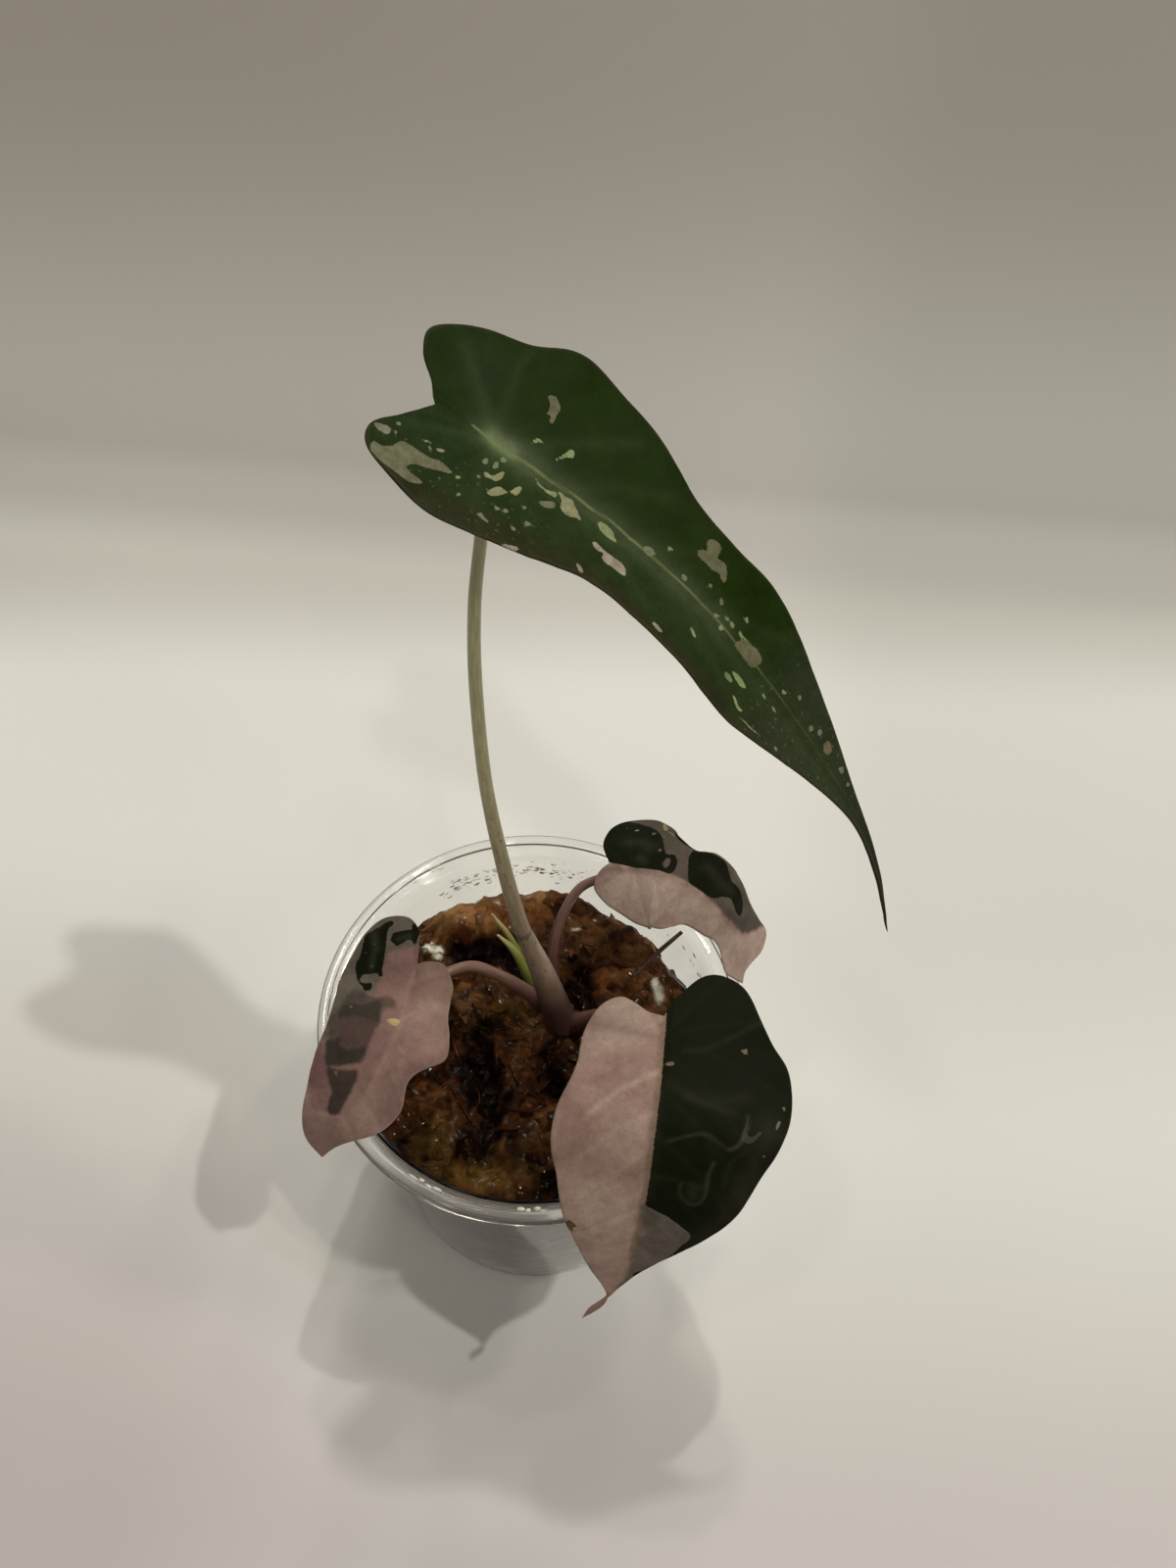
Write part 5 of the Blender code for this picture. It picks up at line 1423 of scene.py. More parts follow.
def make_paper(material):
    """A sheet of paper that lies under the cup and bends up behind it."""
    turn = radians(BACK_TURN)
    across = np.array((cos(turn), sin(turn), 0.0))
    back = np.array((-sin(turn), cos(turn), 0.0))
    section = [(-PAPER_REACH, 0.0)]
    section += [(-PAPER_REACH + 60 * k, 0.0) for k in range(1, 13)]
    for k in range(13):
        angle = pi / 2 * k / 12
        section.append((BEND_RADIUS * sin(angle), BEND_RADIUS * (1 - cos(angle))))
    section.append((BEND_RADIUS, PAPER_TOP))
    start = np.array((*BACK_BEND, 0.0))
    rows = []
    for away, high in section:
        for side in np.linspace(-PAPER_REACH, PAPER_REACH, PAPER_COLUMNS):
            rows.append(start + away * back + side * across + (0, 0, high))
    mesh = smooth_mesh("paper", rows, grid_faces(len(section), PAPER_COLUMNS), material)
    add_object("paper", mesh)


# Cup

MIST_TOP = 55.0  # how high the film of mist reaches at the sides of the cup
MIST_GAP = 0.08  # between the film and the inner wall
MIST_FRONT_RISE = 6.5  # how much higher it reaches in front
MIST_BACK_FALL = 9.0  # and how much lower at the back
DROP_GAP = 0.03  # between a drop's rim and the inner wall
DROP_LEAST = 0.14  # radius of the smallest drop
# The drops' compass angle and spread, height and spread, share of them all, and largest size
DROP_CLUSTERS = [
    (116.0, 5.0, 58.4, 1.2, 0.22, 0.60), (104.0, 4.0, 58.9, 1.1, 0.16, 0.70),
    (88.0, 5.0, 59.0, 1.0, 0.22, 0.60), (78.0, 7.0, 58.2, 1.2, 0.14, 0.50),
    (22.0, 10.0, 57.0, 1.5, 0.08, 0.60), (270.0, 26.0, 40.0, 12.0, 0.08, 0.60),
]


def inside_radius(height, wall=0.8):
    """The cup's inner radius at a height."""
    low, high = BASE_RADIUS - wall, WALL_TOP_RADIUS - wall
    return low + (high - low) * (height - 2.0) / (MOUTH_HEIGHT - 2.0)


def cup_section(wall):
    """Radius and height round the cup's section, from under its middle, up outside, over the
    flat rim with its raised border and down inside."""
    base, top, mouth = BASE_RADIUS, CUP_HEIGHT, WALL_TOP_RADIUS - wall
    outside = [(0.0, 1.3), (12.0, 1.25), (22.8, 1.2), (23.6, 1.0), (24.0, 0.2), (24.5, 0.0)]
    outside += [(25.2, 0.05), (25.8, 0.45), (base, 1.6)]
    for share in np.linspace(0, 1, 24)[1:]:
        outside.append((base + (WALL_TOP_RADIUS - base) * share, 1.6 + (top - 3.6) * share))
    outside += [(WALL_TOP_RADIUS + 0.35, top - 1.6), (RIDGE_RADIUS - 0.5, top - 1.45)]
    bead_radius, bead_height = RIM_RADIUS - RIM_BEAD - 0.02, top - RIM_BEAD - 0.02
    for k in range(15):
        angle = radians(-140 + 230 * k / 14)
        outside.append((bead_radius + RIM_BEAD * cos(angle), bead_height + RIM_BEAD * sin(angle)))
    ledge = top - LEDGE_DROP
    inside = [(RIDGE_RADIUS + 0.35, top - 0.05), (RIDGE_RADIUS + 0.05, top - 0.25)]
    inside += [(RIDGE_RADIUS - 0.25, ledge + 0.05), (RIDGE_RADIUS - 0.6, ledge)]
    inside += [(0.5 * (RIDGE_RADIUS + mouth), ledge - 0.06), (mouth + 0.45, ledge - 0.02)]
    inside += [(mouth + 0.12, ledge - 0.12), (mouth, MOUTH_HEIGHT)]
    for share in np.linspace(1, 0, 25)[1:]:
        height = 2.0 + (MOUTH_HEIGHT - 2.0) * share
        inside.append((inside_radius(height, wall), height))
    inside += [(25.0, 1.1 + wall), (23.6, 1.25 + wall), (12.0, 1.25 + wall), (0.0, 1.3 + wall)]
    return outside + inside


def compass_axes(turn):
    """The level directions outwards and sideways at an angle round the cup."""
    return np.array((cos(turn), sin(turn), 0.0)), np.array((-sin(turn), cos(turn), 0.0))


def add_dome(points, faces, place, axes, sides):
    """Adds a low dome: the half axes of its oval foot come first, and its height last."""
    long, wide, high = axes
    first = len(points)
    for lean in np.linspace(0, pi / 2, 5):
        for angle in 2 * pi * np.arange(sides) / sides:
            flat = cos(angle) * long + sin(angle) * wide
            points.append(place + cos(lean) * flat + sin(lean) * high)
    faces += grid_faces(5, sides, first, closed=True)
    faces.append(list(range(first + sides - 1, first - 1, -1)))


def make_drops(sizes, material):
    """Flat drops of water that cling to the inner wall."""
    chance = np.random.default_rng(21)
    wall = sizes.cup_wall / MM
    points, faces = [], []
    for centre, spread, level, rise, share, most in DROP_CLUSTERS:
        for _ in range(int(share * sizes.drop_count)):
            turn = radians(chance.normal(centre, spread))
            height = float(np.clip(chance.normal(level, rise), 25.0, 61.6))
            size = float(DROP_LEAST + (most - DROP_LEAST) * chance.random() ** 2.0)
            out, side = compass_axes(turn)
            place = out * (inside_radius(height, wall) - DROP_GAP) + (0, 0, height)
            axes = size * side, size * 0.75 * np.array((0.0, 0.0, 1.0)), -0.3 * size * out
            add_dome(points, faces, place, axes, 12)
    return make_piece("cup_drops", points, faces, material)


def make_film(wall, material):
    """The film of mist on the inner wall, higher in front and lower at the back."""
    heights = np.linspace(2.5, MIST_TOP, 20)
    film = [(inside_radius(high, wall) - MIST_GAP, high) for high in heights]
    points, faces = lathe(film, CUP_SIDES)
    x, y, z = points.T
    rise = MIST_FRONT_RISE * smoothstep(4.0, -14.0, y) - MIST_BACK_FALL * smoothstep(2.0, 16.0, y)
    z = z + rise * (z / MIST_TOP) ** 4
    out = (inside_radius(z, wall) - MIST_GAP) / np.hypot(x, y)
    points = np.column_stack([x * out, y * out, z])
    return make_piece("cup_mist", points, faces, material)


# White domes on the rim's ledge that are painted glints: compass angle, how far out, length and width
RIM_GLINT_BEADS = [
    (239.0, 34.6, 0.9, 0.22), (241.5, 34.3, 0.5, 0.30), (244.0, 34.6, 0.6, 0.25),
    (246.5, 34.4, 0.9, 0.28), (270.0, 34.3, 0.7, 0.35), (272.0, 34.5, 0.45, 0.30),
    (274.5, 34.2, 0.6, 0.35), (276.5, 34.6, 0.8, 0.25), (122.0, 34.4, 0.7, 0.35),
    (124.5, 34.6, 0.5, 0.25), (131.0, 34.5, 0.6, 0.2), (205.0, 34.5, 0.8, 0.15),
]


def make_glint_beads(material):
    """Low oval white domes on the rim's ledge: painted glints that stand for the lamps' reflections.
    """
    points, faces = [], []
    for compass, radius, long, wide in RIM_GLINT_BEADS:
        out, side = compass_axes(radians(compass))
        place = radius * out + (0, 0, CUP_HEIGHT - LEDGE_DROP)
        add_dome(points, faces, place, (long * side, wide * out, np.array((0, 0, wide))), 14)
    return make_piece("rim_glint_beads", points, faces, material)


def glint_bead_finish():
    """White droplets that are painted glints, with a cloudy white middle."""
    material, shader = new_material("painted glint drops")
    cloud = shader.noise(shader.place(), 900.0, 2.0)
    colour = shader.mix(shader.ramp(cloud, 0.3, 0.7), (0.80, 0.79, 0.74), (0.95, 0.94, 0.90))
    rough = shader.ramp(cloud, 0.3, 0.7, 0.08, 0.2)
    shader.finish(shader.skin(colour, rough, Coat_Weight=1.0))
    return material


# Moss

# Places on the moss: x, y, reach along x, reach along y, rise and change of tone
# Where a place sinks, its tone falls: partly the moss's own darker colour and partly painted shade.
MOSS_PLACES = [
    (-9.0, -5.0, 2.4, 5.2, -3.8, -1.00), (-6.5, -13.0, 3.0, 4.0, -3.6, -0.80),
    (-8.0, -21.0, 2.2, 3.0, -2.6, -0.80), (8.5, 9.0, 2.4, 4.8, -3.6, -0.95),
    (-9.0, 15.8, 6.4, 2.2, -3.6, -1.10), (-15.0, -8.5, 4.0, 1.8, -1.8, -0.35),
    (2.0, -24.0, 1.7, 1.2, -1.0, -0.35), (3.6, -27.0, 1.9, 1.9, -0.8, -0.45),
    (4.5, -9.0, 3.0, 4.0, -1.2, -0.30), (13.8, 9.0, 0.9, 0.7, -0.9, -0.60),
    (24.5, 14.0, 1.0, 0.8, -0.9, -0.50), (-3.0, 13.0, 2.4, 3.4, -2.2, -0.80),
    (-15.5, 21.5, 6.0, 3.2, 2.8, 0.55), (-5.5, 25.0, 6.0, 2.4, 2.2, 0.45),
    (0.5, 27.2, 2.6, 1.6, 2.4, 0.55), (6.0, 26.4, 2.6, 2.0, 1.8, 0.30),
    (14.0, 21.0, 8.5, 4.0, 1.2, 0.20), (13.5, 11.0, 3.6, 2.2, 1.4, 0.26),
    (11.5, 6.8, 2.0, 1.6, 1.2, 0.20), (24.5, 8.0, 2.6, 5.0, 1.2, 0.24),
    (-5.0, -26.8, 7.0, 1.7, 1.6, 0.34), (-6.2, -4.5, 0.9, 3.2, 0.9, 0.22),
    (-2.0, -2.2, 3.2, 2.2, 0.9, 0.10), (-19.5, -14.5, 3.0, 2.6, 0.9, 0.06),
    (-14.0, -18.0, 3.0, 2.2, 0.6, 0.06), (-4.0, -20.0, 1.0, 4.0, 1.0, 0.10),
]
# Painted glints: pale places that stand for wet moss catching the light and for the bright wall seen
# through gaps: x, y and reaches
MOSS_PAINTED_GLINTS = [
    (-19.4, 15.9, 1.9, 0.8), (-18.0, 15.0, 1.2, 1.0), (21.6, 10.2, 0.9, 1.4),
    (22.4, 7.6, 1.1, 1.8), (10.4, 26.6, 2.2, 1.1), (7.0, 20.5, 1.1, 0.6),
    (-3.0, 28.2, 1.6, 0.5), (-12.5, 24.8, 2.2, 0.5), (26.4, 13.5, 0.6, 2.6),
]
# Where broad sheets lie: x, y, spread, how many and how high they arch
FOLD_PLACES = [
    (-15.0, 21.0, 3.0, 9, 2.2), (-5.0, 24.5, 4.0, 9, 1.9), (3.0, 26.5, 3.0, 6, 1.9),
    (15.0, 20.0, 5.0, 10, 1.0), (14.0, 11.0, 3.5, 7, 1.0), (24.0, 9.0, 3.0, 7, 1.0),
    (-5.0, -26.0, 3.6, 8, 0.9), (-14.0, -19.0, 4.0, 9, 0.8), (-2.0, -4.0, 4.0, 9, 0.8),
    (0.0, -17.0, 4.0, 9, 0.8), (-16.0, 3.0, 5.0, 8, 0.8), (18.0, -8.0, 7.0, 12, 0.8),
    (-20.0, -12.0, 3.0, 5, 0.8),
]
OLIVE_PLACES = [(-6.0, -26.5, 9.0, 3.4), (-16.0, -21.5, 3.4, 3.2), (-5.5, 3.0, 5.0, 2.0)]
BRIGHTEST = 1.1  # the tone of the driest folds
BACK_GAP = 78.0  # compass angle of the middle of the open gap between the moss and the wall


def hills(x, y, places):
    """A smooth bump of height one at each place."""
    return [np.exp(-(((x - a) / wide) ** 2 + ((y - b) / deep) ** 2)) for a, b, wide, deep in places]


def with_places(value, x, y, column):
    """Adds a column of MOSS_PLACES to a value, each row of it round its own place."""
    bumps = hills(x, y, [place[:4] for place in MOSS_PLACES])
    return sum((place[column] * bump for bump, place in zip(bumps, MOSS_PLACES)), value)


def moss_height(x, y):
    """Height of the moss: a mound round the stems with folds, lumps, tufts and hollows."""
    flat = np.stack([x, y], -1)
    squared = (x - CROWN[0]) ** 2 + (y - CROWN[1]) ** 2
    high = MOSS_LEVEL + 1.0 * np.exp(-squared / 150.0)
    high = high + 1.5 * np.exp(-squared / 24.0)
    folds = np.abs(clouds(flat + 0.8 * clouds(flat, 3.0, 15)[..., None], 6.0, 11))
    high = high + 1.6 * (0.45 - folds) + 0.8 * clouds(flat, 3.2, 12)
    high = high + 0.40 * clouds(flat, 1.5, 13) + 0.16 * clouds(flat, 0.7, 14)
    high = with_places(high, x, y, 4)
    radius = np.hypot(x, y)
    away = (np.degrees(np.arctan2(y, x)) - BACK_GAP + 180) % 360 - 180
    gap = smoothstep(75, 30, np.abs(away)) * smoothstep(27.2, 29.8, radius)
    gap = gap + 0.3 * smoothstep(30.0, 31.5, radius)
    return high - 9.0 * gap


def moss_tone(x, y):
    """How light the moss is, from below nought in the hollows, dark partly as wet moss and partly as
    painted shade, to one on dry folds.
    """
    flat = np.stack([x, y], -1)
    tone = 0.34 + 0.16 * clouds(flat, 5.0, 30) + 0.20 * clouds(flat, 2.1, 31)
    tone = tone + 0.10 * clouds(flat, 0.9, 32) + 0.10 * smoothstep(-10, 20, y)
    return np.clip(with_places(tone, x, y, 5), 0, BRIGHTEST)


def make_moss(name, points, faces, tones, material, nodes=()):
    """Makes a piece of moss, with what its finish reads from its points."""
    x, y, z = points.T
    # The pale places read here are painted glints.
    olive, painted_glint = (np.clip(sum(hills(x, y, rows)), 0, 1) for rows in (OLIVE_PLACES, MOSS_PAINTED_GLINTS))
    values = {
        "flat": points, "tone": np.clip(tones, 0, BRIGHTEST), "olive": olive,
        "painted_glint": painted_glint * smoothstep(MOSS_LEVEL - 5, MOSS_LEVEL - 3, z),
    }
    return make_piece(name, points, faces, material, nodes, values)


def moss_wall_radius(z):
    """How far out the moss may reach at a height."""
    return inside_radius(np.clip(z, 2.0, MOUTH_HEIGHT)) - 0.2


def make_moss_body(material):
    """The body of the moss, pressed against the cup's wall and rugged on top."""
    turn = 2 * pi * np.arange(MOSS_SIDES) / MOSS_SIDES
    circle = np.stack([np.cos(turn), np.sin(turn)], -1)
    rows, tones = [], []
    reach = inside_radius(MOSS_LEVEL - 2.0) - 0.5
    edge = moss_height(*(reach * circle).T)
    for share in np.linspace(0, 1, MOSS_COURSES):
        level = 2.2 + (edge - 0.8 - 2.2) * share
        spots = np.column_stack([26 * circle, level])
        dent = 0.55 * np.abs(clouds(spots, 4.0, 5)) + 0.25 * np.abs(clouds(spots, 1.3, 6))
        radius = moss_wall_radius(level) - 0.1 - dent - (1.0 if share == 0 else 0.0)
        rows.append(np.column_stack([circle * radius[:, None], level]))
        # The side is painted darker in its dents: painted shade.
        tones.append(0.30 + 0.30 * clouds(spots, 5.0, 7) - 0.4 * dent)
    for share in np.linspace(1, 0, MOSS_RINGS, endpoint=False):
        xy = circle * reach * share**0.9
        high = moss_height(xy[:, 0], xy[:, 1])
        rows.append(np.column_stack([xy, high]))
        tones.append(moss_tone(xy[:, 0], xy[:, 1]))
    points = np.vstack(rows)
    faces = grid_faces(len(rows), MOSS_SIDES, closed=True)
    last = len(points) - MOSS_SIDES
    faces.append(list(range(last, last + MOSS_SIDES)))
    faces.append(list(range(MOSS_SIDES - 1, -1, -1)))
    return make_moss("moss_body", points, faces, np.concatenate(tones), material, ["moss"])


def make_folds(material):
    """Broad wet sheets of moss with wavy surfaces that lie folded on each other."""
    chance = np.random.default_rng(77)
    across, along = np.meshgrid(np.linspace(-1, 1, 15), np.linspace(-1, 1, 21))
    edge = np.sqrt(1 - 0.5 * across**2), np.sqrt(1 - 0.5 * along**2)
    across, along = across * edge[1], along * edge[0]
    points, faces, tones = [], [], []
    for centre_x, centre_y, spread, count, lift in FOLD_PLACES:
        for _ in range(count):
            x = centre_x + spread * chance.normal()
            y = centre_y + 0.6 * spread * chance.normal()
            turn = pi * chance.random()
            long, wide = chance.uniform(3.5, 7.0), chance.uniform(1.8, 3.6)
            wave = chance.uniform(0, 2 * pi, 4)
            ragged = 1 + 0.16 * np.sin(7 * np.arctan2(across, along) + wave[0])
            u, v = long * along * ragged, wide * across * ragged
            east, north = u * cos(turn) - v * sin(turn), u * sin(turn) + v * cos(turn)
            plan = np.stack([x + east, y + north], -1)
            ripple = 0.50 * np.sin(1.3 * u + wave[1]) * np.cos(1.5 * v + wave[2])
            arch = lift * chance.uniform(0.5, 1.2) * (1 - 0.9 * across**2 - 0.8 * along**2)
            ground = moss_height(plan[..., 0], plan[..., 1])
            even = moss_height(np.array(x), np.array(y))
            high = 0.6 * ground + 0.4 * even + arch + ripple + 0.25 * clouds(plan, 1.6, 40)
            sheet = keep_in_cup(np.concatenate([plan, high[..., None]], -1).reshape(-1, 3))
            faces += grid_faces(21, 15, len(points))
            points += sheet.tolist()
            local = moss_tone(sheet[:, 0], sheet[:, 1]) + chance.normal(0.02, 0.06)
            # Painted light and shade: a sheet is lighter where it arches and on its ripples' crests,
            # and darker in their troughs.
            tones += (local + 0.05 * arch.ravel() + 0.10 * ripple.ravel()).tolist()
    return make_moss("moss_folds", np.array(points), faces, tones, material)


def scatter(chance, count, reach=29.0):
    """Even random places over the moss."""
    turn = 2 * pi * chance.random(count)
    radius = reach * np.sqrt(chance.random(count))
    return radius * np.cos(turn), radius * np.sin(turn)


def keep_in_cup(points):
    """Moves points that are too far out back inside the cup's wall."""
    limit = moss_wall_radius(points[..., 2]) - 0.15
    out = np.maximum(np.hypot(points[..., 0], points[..., 1]), 1e-6)
    scale = np.minimum(1, limit / out)
    return points * np.stack([scale, scale, np.ones_like(scale)], -1)


def make_flakes(name, count, seed, length, width, stand, material):
    """Folded and twisted moss leaflets that lie on the moss."""
    chance = np.random.default_rng(seed)
    stations, across_count = 9, 3
    x, y = scatter(chance, count)
    place = np.stack([x, y, moss_height(x, y) + chance.normal(0.25, 0.35, count)], -1)
    turn, lean = 2 * pi * chance.random(count), chance.normal(0.0, stand, count)
    level = np.cos(lean)
    heading = np.stack([np.cos(turn) * level, np.sin(turn) * level, np.sin(lean)], -1)
    roll = chance.normal(0, 0.5, count)
    side = unit(np.cross((0, 0, 1.0), heading))
    up = np.cross(heading, side)
    normal = up * np.cos(roll)[:, None] + side * np.sin(roll)[:, None]
    long = chance.uniform(*length, count)
    wide = chance.uniform(*width, count)
    step = long / (stations - 1)
    curl = chance.normal(0, 0.16, count) + chance.choice([0, 0.28, -0.28], count, p=[0.6, 0.2, 0.2])
    twist = chance.normal(0, 0.13, count)
    fold = chance.uniform(0.0, 0.45, count)
    place = place - heading * (long / 2)[:, None]
    rows = []
    for k in range(stations):
        share = k / (stations - 1)
        half = 0.5 * wide * np.sin(pi * (0.08 + 0.86 * share)) ** 0.7
        side = np.cross(normal, heading)
        for j in (-1, 0, 1):
            offset = side * (j * half)[:, None] + normal * (abs(j) * fold * half)[:, None]
            rows.append(place + offset)
        place = place + heading * step[:, None]
        bend = (curl * step)[:, None]
        heading, normal = unit(heading + normal * bend), unit(normal - heading * bend)
        normal = unit(normal + side * (twist * step)[:, None])
        normal = unit(normal - heading * (heading * normal).sum(-1, keepdims=True))
    points = np.stack(rows, 1)
    floor = moss_height(points[..., 0], points[..., 1])
    low = floor - 0.25 + 0.2 * chance.random((count, 1))
    points[..., 2] = np.clip(points[..., 2], low, floor + 2.6)
    points = keep_in_cup(points)
    size = stations * across_count
    cell = np.array(grid_faces(stations, across_count))
    faces = (cell[None] + (size * np.arange(count))[:, None, None]).reshape(-1, 4).tolist()
    middle = points.mean(1)
    tone = moss_tone(middle[:, 0], middle[:, 1]) + chance.normal(0.0, 0.07, count)
    return make_moss(name, points.reshape(-1, 3), faces, np.repeat(tone, size), material)


def make_strands(count, material):
    """Thin loose strands that arch over the moss."""
    chance = np.random.default_rng(5)
    xs, ys = scatter(chance, count, 29.0)
    points, faces, tones = [], [], []
    for x, y in zip(xs, ys):
        turn, long = 2 * pi * chance.random(), chance.uniform(4, 11)
        bend, thick = chance.normal(0, 0.16), chance.uniform(0.09, 0.24)
        rows, place, lift = [], np.array((x, y)), chance.uniform(0.1, 1.2)
        for k in range(5):
            share = k / 4
            level = float(moss_height(place[0], place[1]))
            rows.append((*place, level + lift * sin(pi * share) + 0.25, thick * (1 - 0.5 * share)))
            turn += bend * long / 4
            place = place + long / 4 * np.array((cos(turn), sin(turn)))
        ring, quads = tube(rows, 5, 9)
        ring = keep_in_cup(ring)
        faces += [[len(points) + n for n in quad] for quad in quads]
        points += ring.tolist()
        tones += [float(moss_tone(x, y)) + chance.normal(0.0, 0.12)] * len(ring)
    return make_moss("moss_strands", np.array(points), faces, tones, material)


# Stems


def make_stem(name, rows, sides, steps, material, nodes, ridges=0.0):
    points, faces = tube(rows, sides, steps, ridges)
    path = smooth_path(rows, steps)
    run = np.repeat(run_of(path), sides)
    run = np.r_[run, run[0], run[-1]]
    turn = np.tile(2 * pi * np.arange(sides) / sides, steps + 1)
    turn = np.r_[turn, 0, 0]
    flat = np.column_stack([run, 1.5 * np.cos(turn), 1.5 * np.sin(turn)])
    return make_piece(name, points, faces, material, nodes, {"flat": flat, "run": run})


# Add-on


class MaskPlantSizes(bpy.types.PropertyGroup):
    """Sizes and counts that a user may change."""

    blade_thickness: FloatProperty(
        name="Blade thickness", description="Thickness of the leaf blades",
        default=0.00045, min=0.0002, max=0.001, unit="LENGTH", precision=5,
    )
    vein_depth: FloatProperty(
        name="Vein depth", description="Depth of the grooves along the side veins",
        default=0.00008, min=0.0, max=0.0003, unit="LENGTH", precision=5,
    )
    cup_wall: FloatProperty(
        name="Cup wall", description="Thickness of the cup's plastic",
        default=0.0005, min=0.0003, max=0.0008, unit="LENGTH", precision=5,
    )
    drop_count: IntProperty(
        name="Drops", description="Drops of water on the inner wall", default=260, min=0, max=600,
    )
    flake_count: IntProperty(
        name="Moss leaflets", description="Leaflets on the moss", default=260, min=0, max=6000,
    )
    strand_count: IntProperty(
        name="Moss strands", description="Thin strands on the moss", default=60, min=0, max=800,
    )
    floor_light: FloatProperty(
        name="Floor light", description="Light that white paper sends back", default=0.80,
        min=0.1, max=2.0,
    )
    ambient: FloatProperty(
        name="Ambient light", description="Even light from all round", default=0.05,
        min=0.0, max=1.0,
    )


def colour_property(name, description, default):
    return FloatVectorProperty(
        name=name, description=description, default=default, subtype="COLOR", size=3,
        min=0.0, max=1.0,
    )


class MaskPlantColours(bpy.types.PropertyGroup):
    """Linear colours that a user may change."""

    underside: colour_property("Underside", "Underside of the tall leaf", (0.070, 0.030, 0.045))
    pink: colour_property("Pink", "Underside of the small leaves", (0.295, 0.190, 0.180))
    dark: colour_property("Dark", "Dark areas of the small leaves", (0.008, 0.0095, 0.0035))
    moss_gold: colour_property("Moss gold", "Light folds of the moss", (0.135, 0.058, 0.018))
    moss_brown: colour_property("Moss brown", "Middle tone of the moss", (0.040, 0.0135, 0.0035))
    # The moss's black fills its hollows, partly as painted shade.
    moss_black: colour_property("Moss black", "Wet hollows of the moss", (0.004, 0.0012, 0.0006))
    moss_olive: colour_property("Moss olive", "Greenish moss at the front", (0.110, 0.062, 0.010))
    paper: colour_property("Paper", "Floor and backdrop", (0.80, 0.795, 0.785))


class PlantOperator:
    """What the operators share."""

    bl_options = {"REGISTER", "UNDO"}

    @property
    def sizes(self):
        return bpy.context.scene.mask_plant_sizes

    @property
    def colours(self):
        return bpy.context.scene.mask_plant_colours


class MASKPLANT_OT_stage(PlantOperator, bpy.types.Operator):
    """Makes the camera, the lamps and the paper under and behind the plant"""

    bl_idname = "mask_plant.stage"
    bl_label = "Stage"

    def execute(self, context):
        scene = context.scene
        scene.view_settings.view_transform = "Standard"
        make_camera()
        level = self.sizes.floor_light - self.sizes.ambient
        for name, (towards, share, width) in LIGHTS.items():
            make_lamp(name, towards, share, width, level)
        world = bpy.data.worlds.new("soft light")
        world.use_nodes = True
        sky = world.node_tree.nodes["Background"]
        sky.inputs["Color"].default_value = (1.0, 0.92, 0.80, 1)
        sky.inputs["Strength"].default_value = self.sizes.ambient
        scene.world = world
        make_paper(paper_finish(self.colours))
        return {"FINISHED"}


class MASKPLANT_OT_cup(PlantOperator, bpy.types.Operator):
    """Makes the clear cup with its flat rim, its film of mist, its drops and the white beads on its
    rim, which are painted glints
    """

    bl_idname = "mask_plant.cup"
    bl_label = "Cup"

    def execute(self, context):
        wall = self.sizes.cup_wall / MM
        plastic = clear_finish("clear plastic", (0.97, 0.97, 0.955), 1.36, 0.02, 0.07, (1, 1, 0.2))
        points, faces = lathe(cup_section(wall), CUP_SIDES)
        make_piece("cup_clear", points, faces, plastic, ["cup"])
        mist = mist_finish("mist", (0.075, 0.048, 0.030), (0.34, 0.30, 0.25))
        make_film(wall, mist)
        make_drops(self.sizes, clear_finish("water", (1.0, 1.0, 1.0), 1.2, 0.0, 0.01))
        make_glint_beads(glint_bead_finish())
        return {"FINISHED"}


class MASKPLANT_OT_moss(PlantOperator, bpy.types.Operator):
    """Makes the moss: its body, its sheets, its leaflets and its loose strands"""

    bl_idname = "mask_plant.moss"
    bl_label = "Moss"

    def execute(self, context):
        make_moss_body(moss_finish("wet moss", self.colours, 0.7))
        sheet = moss_finish("moss sheets", self.colours, 0.8)
        make_folds(sheet)
        count = self.sizes.flake_count
        make_flakes("moss_leaflets", int(0.6 * count), 31, (1.8, 4.5), (0.6, 1.5), 0.15, sheet)
        make_flakes("moss_curls", int(0.4 * count), 32, (3.5, 8.0), (1.0, 2.6), 0.12, sheet)
        make_strands(self.sizes.strand_count, sheet)
        return {"FINISHED"}


class MASKPLANT_OT_twig(PlantOperator, bpy.types.Operator):
    """Makes the short dark twig that leans on the cup's wall"""

    bl_idname = "mask_plant.twig"
    bl_label = "Twig"

    def execute(self, context):
        bark = bark_finish("twig bark", (0.020, 0.008, 0.005), (0.13, 0.06, 0.04))
        rows = [(17.6, 11.0, 58.4, 0.28), (22.0, 15.0, 60.2, 0.42), (26.2, 18.6, 61.6, 0.34)]
        points, faces = tube(rows, 12, 30, 0.12)
        make_piece("twig", points, faces, bark)
        return {"FINISHED"}


class MASKPLANT_OT_rootstock(PlantOperator, bpy.types.Operator):
    """Gives the buried corm and roots their bark"""

    bl_idname = "mask_plant.rootstock"
    bl_label = "Rootstock"

    def execute(self, context):
        bark = bark_finish("corm skin", (0.09, 0.05, 0.03), (0.34, 0.22, 0.15))
        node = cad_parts["rootstock"]
        for slot in node.material_slots:
            slot.material = bark
        return {"FINISHED"}


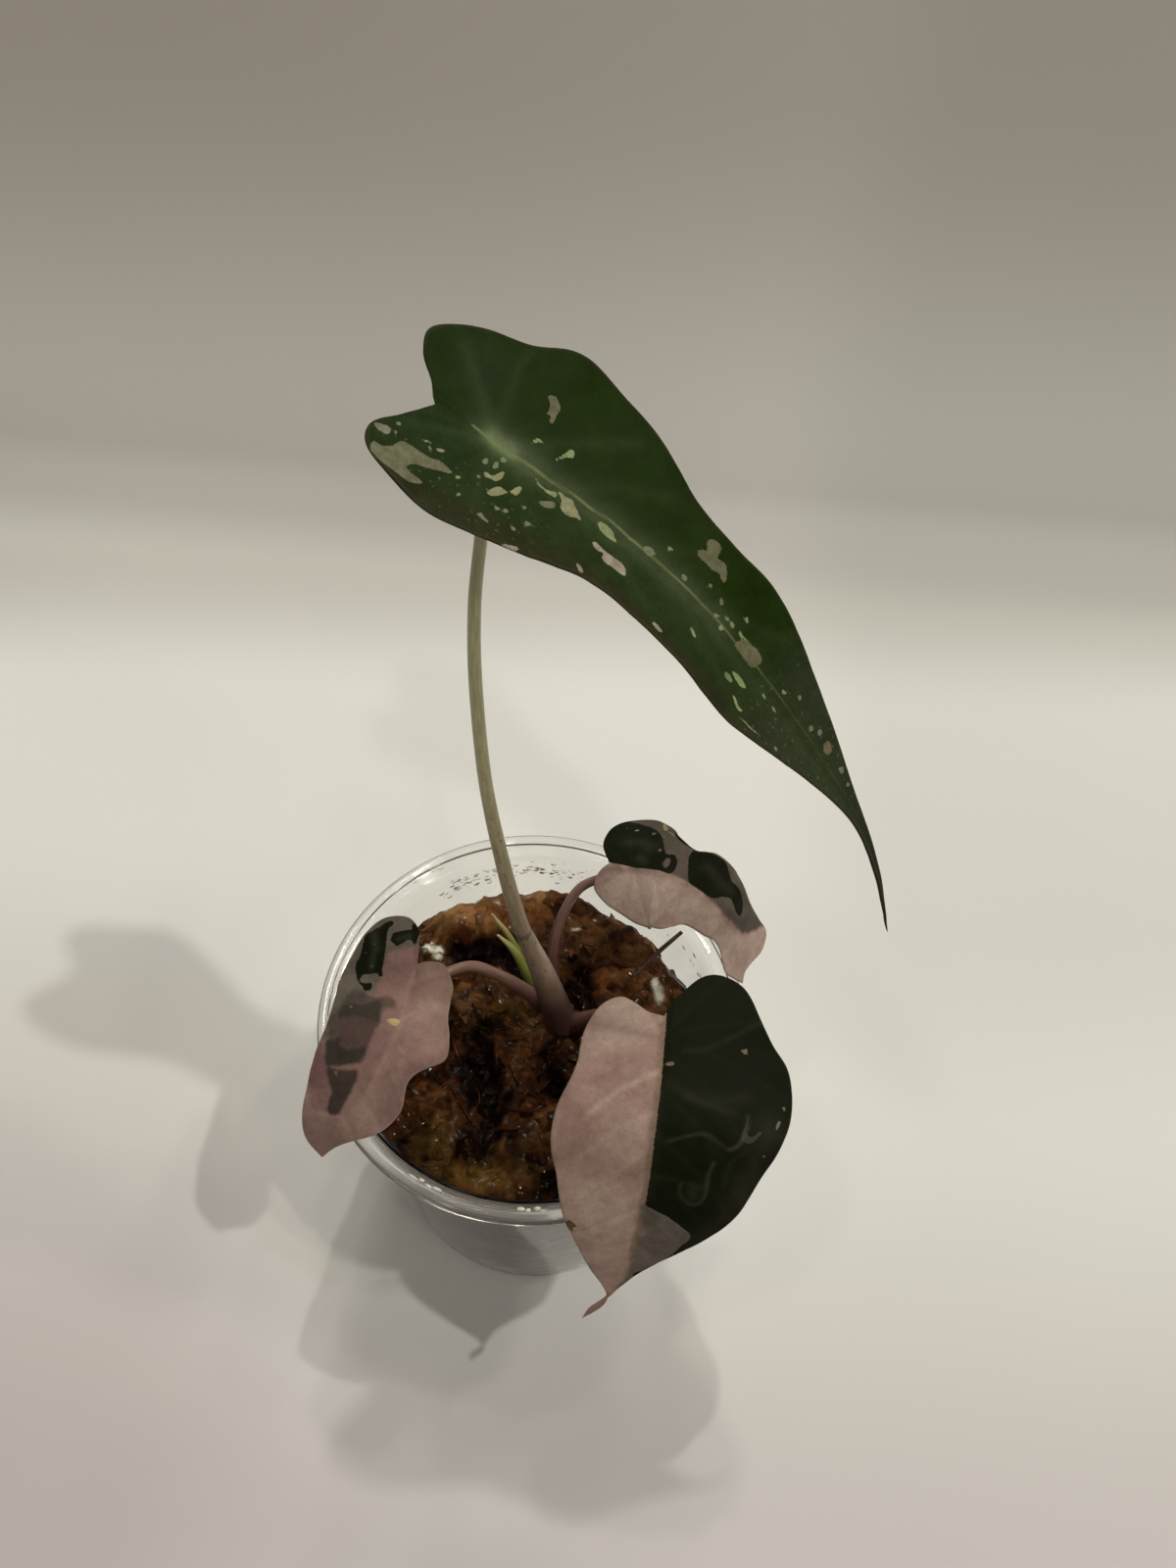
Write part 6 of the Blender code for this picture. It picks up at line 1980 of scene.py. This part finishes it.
class MASKPLANT_OT_stalks(PlantOperator, bpy.types.Operator):
    """Makes the tall stalk and the three short ones"""

    bl_idname = "mask_plant.stalks"
    bl_label = "Stalks"

    def execute(self, context):
        cream = stalk_finish(
            "tall stalk", (0.35, 0.245, 0.175), (0.56, 0.54, 0.29), (0.12, 0.065, 0.04),
            20.0, 90.0, 31.0, ring=38.0,
        )
        pink = stalk_finish(
            "short stalk", (0.155, 0.070, 0.056), (0.31, 0.18, 0.145), (0.07, 0.03, 0.024),
            8.0, 26.0, 13.0,
        )
        make_stem("stalk_of_tall_leaf", TALL_STALK, 32, 200, cream, ["petiole_tall"])
        short = {"left": LEFT_STALK, "back": BACK_STALK, "front": FRONT_STALK}
        for side, rows in short.items():
            node = f"petiole_{side}"
            make_stem(f"stalk_of_{side}_leaf", rows, 24, 110, pink, [node])
        return {"FINISHED"}


class MASKPLANT_OT_shoot(PlantOperator, bpy.types.Operator):
    """Makes the new shoot: its sheath and the spike beside it"""

    bl_idname = "mask_plant.shoot"
    bl_label = "New shoot"

    def execute(self, context):
        young = shoot_finish()
        make_stem("shoot_sheath", SHOOT_SHEATH, 20, 60, young, ["new_shoot"])
        make_stem("shoot_spike", SHOOT_SPIKE, 16, 60, young, ())
        return {"FINISHED"}


class MASKPLANT_OT_tall_leaf(PlantOperator, bpy.types.Operator):
    """Makes the tall green leaf"""

    bl_idname = "mask_plant.tall_leaf"
    bl_label = "Tall leaf"

    def execute(self, context):
        skin = leaf_finish("tall leaf skin", self.colours, adult=True)
        make_blade(
            "tall_leaf_blade", "blade_tall", TALL_LEAF, skin, self.sizes, flat_relief
        )
        return {"FINISHED"}


class MASKPLANT_OT_small_leaves(PlantOperator, bpy.types.Operator):
    """Makes the three young leaves that are pink, grey and nearly black"""

    bl_idname = "mask_plant.small_leaves"
    bl_label = "Small leaves"

    def execute(self, context):
        skin = leaf_finish("young leaf skin", self.colours, adult=False)
        leaves = {
            "left": (LEFT_LEAF, flat_relief),
            "back": (BACK_LEAF, flat_relief),
            "front": (FRONT_LEAF, front_relief),
        }
        for side, (leaf, relief) in leaves.items():
            name, node = f"{side}_leaf_blade", f"blade_{side}"
            make_blade(name, node, leaf, skin, self.sizes, relief)
        return {"FINISHED"}


OPERATORS = (
    MASKPLANT_OT_stage,
    MASKPLANT_OT_cup,
    MASKPLANT_OT_moss,
    MASKPLANT_OT_twig,
    MASKPLANT_OT_rootstock,
    MASKPLANT_OT_stalks,
    MASKPLANT_OT_shoot,
    MASKPLANT_OT_tall_leaf,
    MASKPLANT_OT_small_leaves,
)


class MASKPLANT_PT_panel(bpy.types.Panel):
    """Sizes, colours and steps of the mask plant"""

    bl_idname = "MASKPLANT_PT_panel"
    bl_label = "Mask Plant"
    bl_space_type = "VIEW_3D"
    bl_region_type = "UI"
    bl_category = "Mask Plant"

    def draw(self, context):
        for group in (context.scene.mask_plant_sizes, context.scene.mask_plant_colours):
            box = self.layout.box()
            for key in group.__annotations__:
                box.prop(group, key)
        for operator in OPERATORS:
            self.layout.operator(operator.bl_idname)


CLASSES = (MaskPlantSizes, MaskPlantColours, *OPERATORS, MASKPLANT_PT_panel)


def register():
    for kind in CLASSES:
        bpy.utils.register_class(kind)
    bpy.types.Scene.mask_plant_sizes = PointerProperty(type=MaskPlantSizes)
    bpy.types.Scene.mask_plant_colours = PointerProperty(type=MaskPlantColours)


def unregister():
    del bpy.types.Scene.mask_plant_colours
    del bpy.types.Scene.mask_plant_sizes
    for kind in reversed(CLASSES):
        bpy.utils.unregister_class(kind)


def main():
    register()
    make_groups()
    for operator in OPERATORS:
        step = operator.bl_idname.split(".")[1]
        getattr(bpy.ops.mask_plant, step)()


if __name__ == "__main__":
    main()
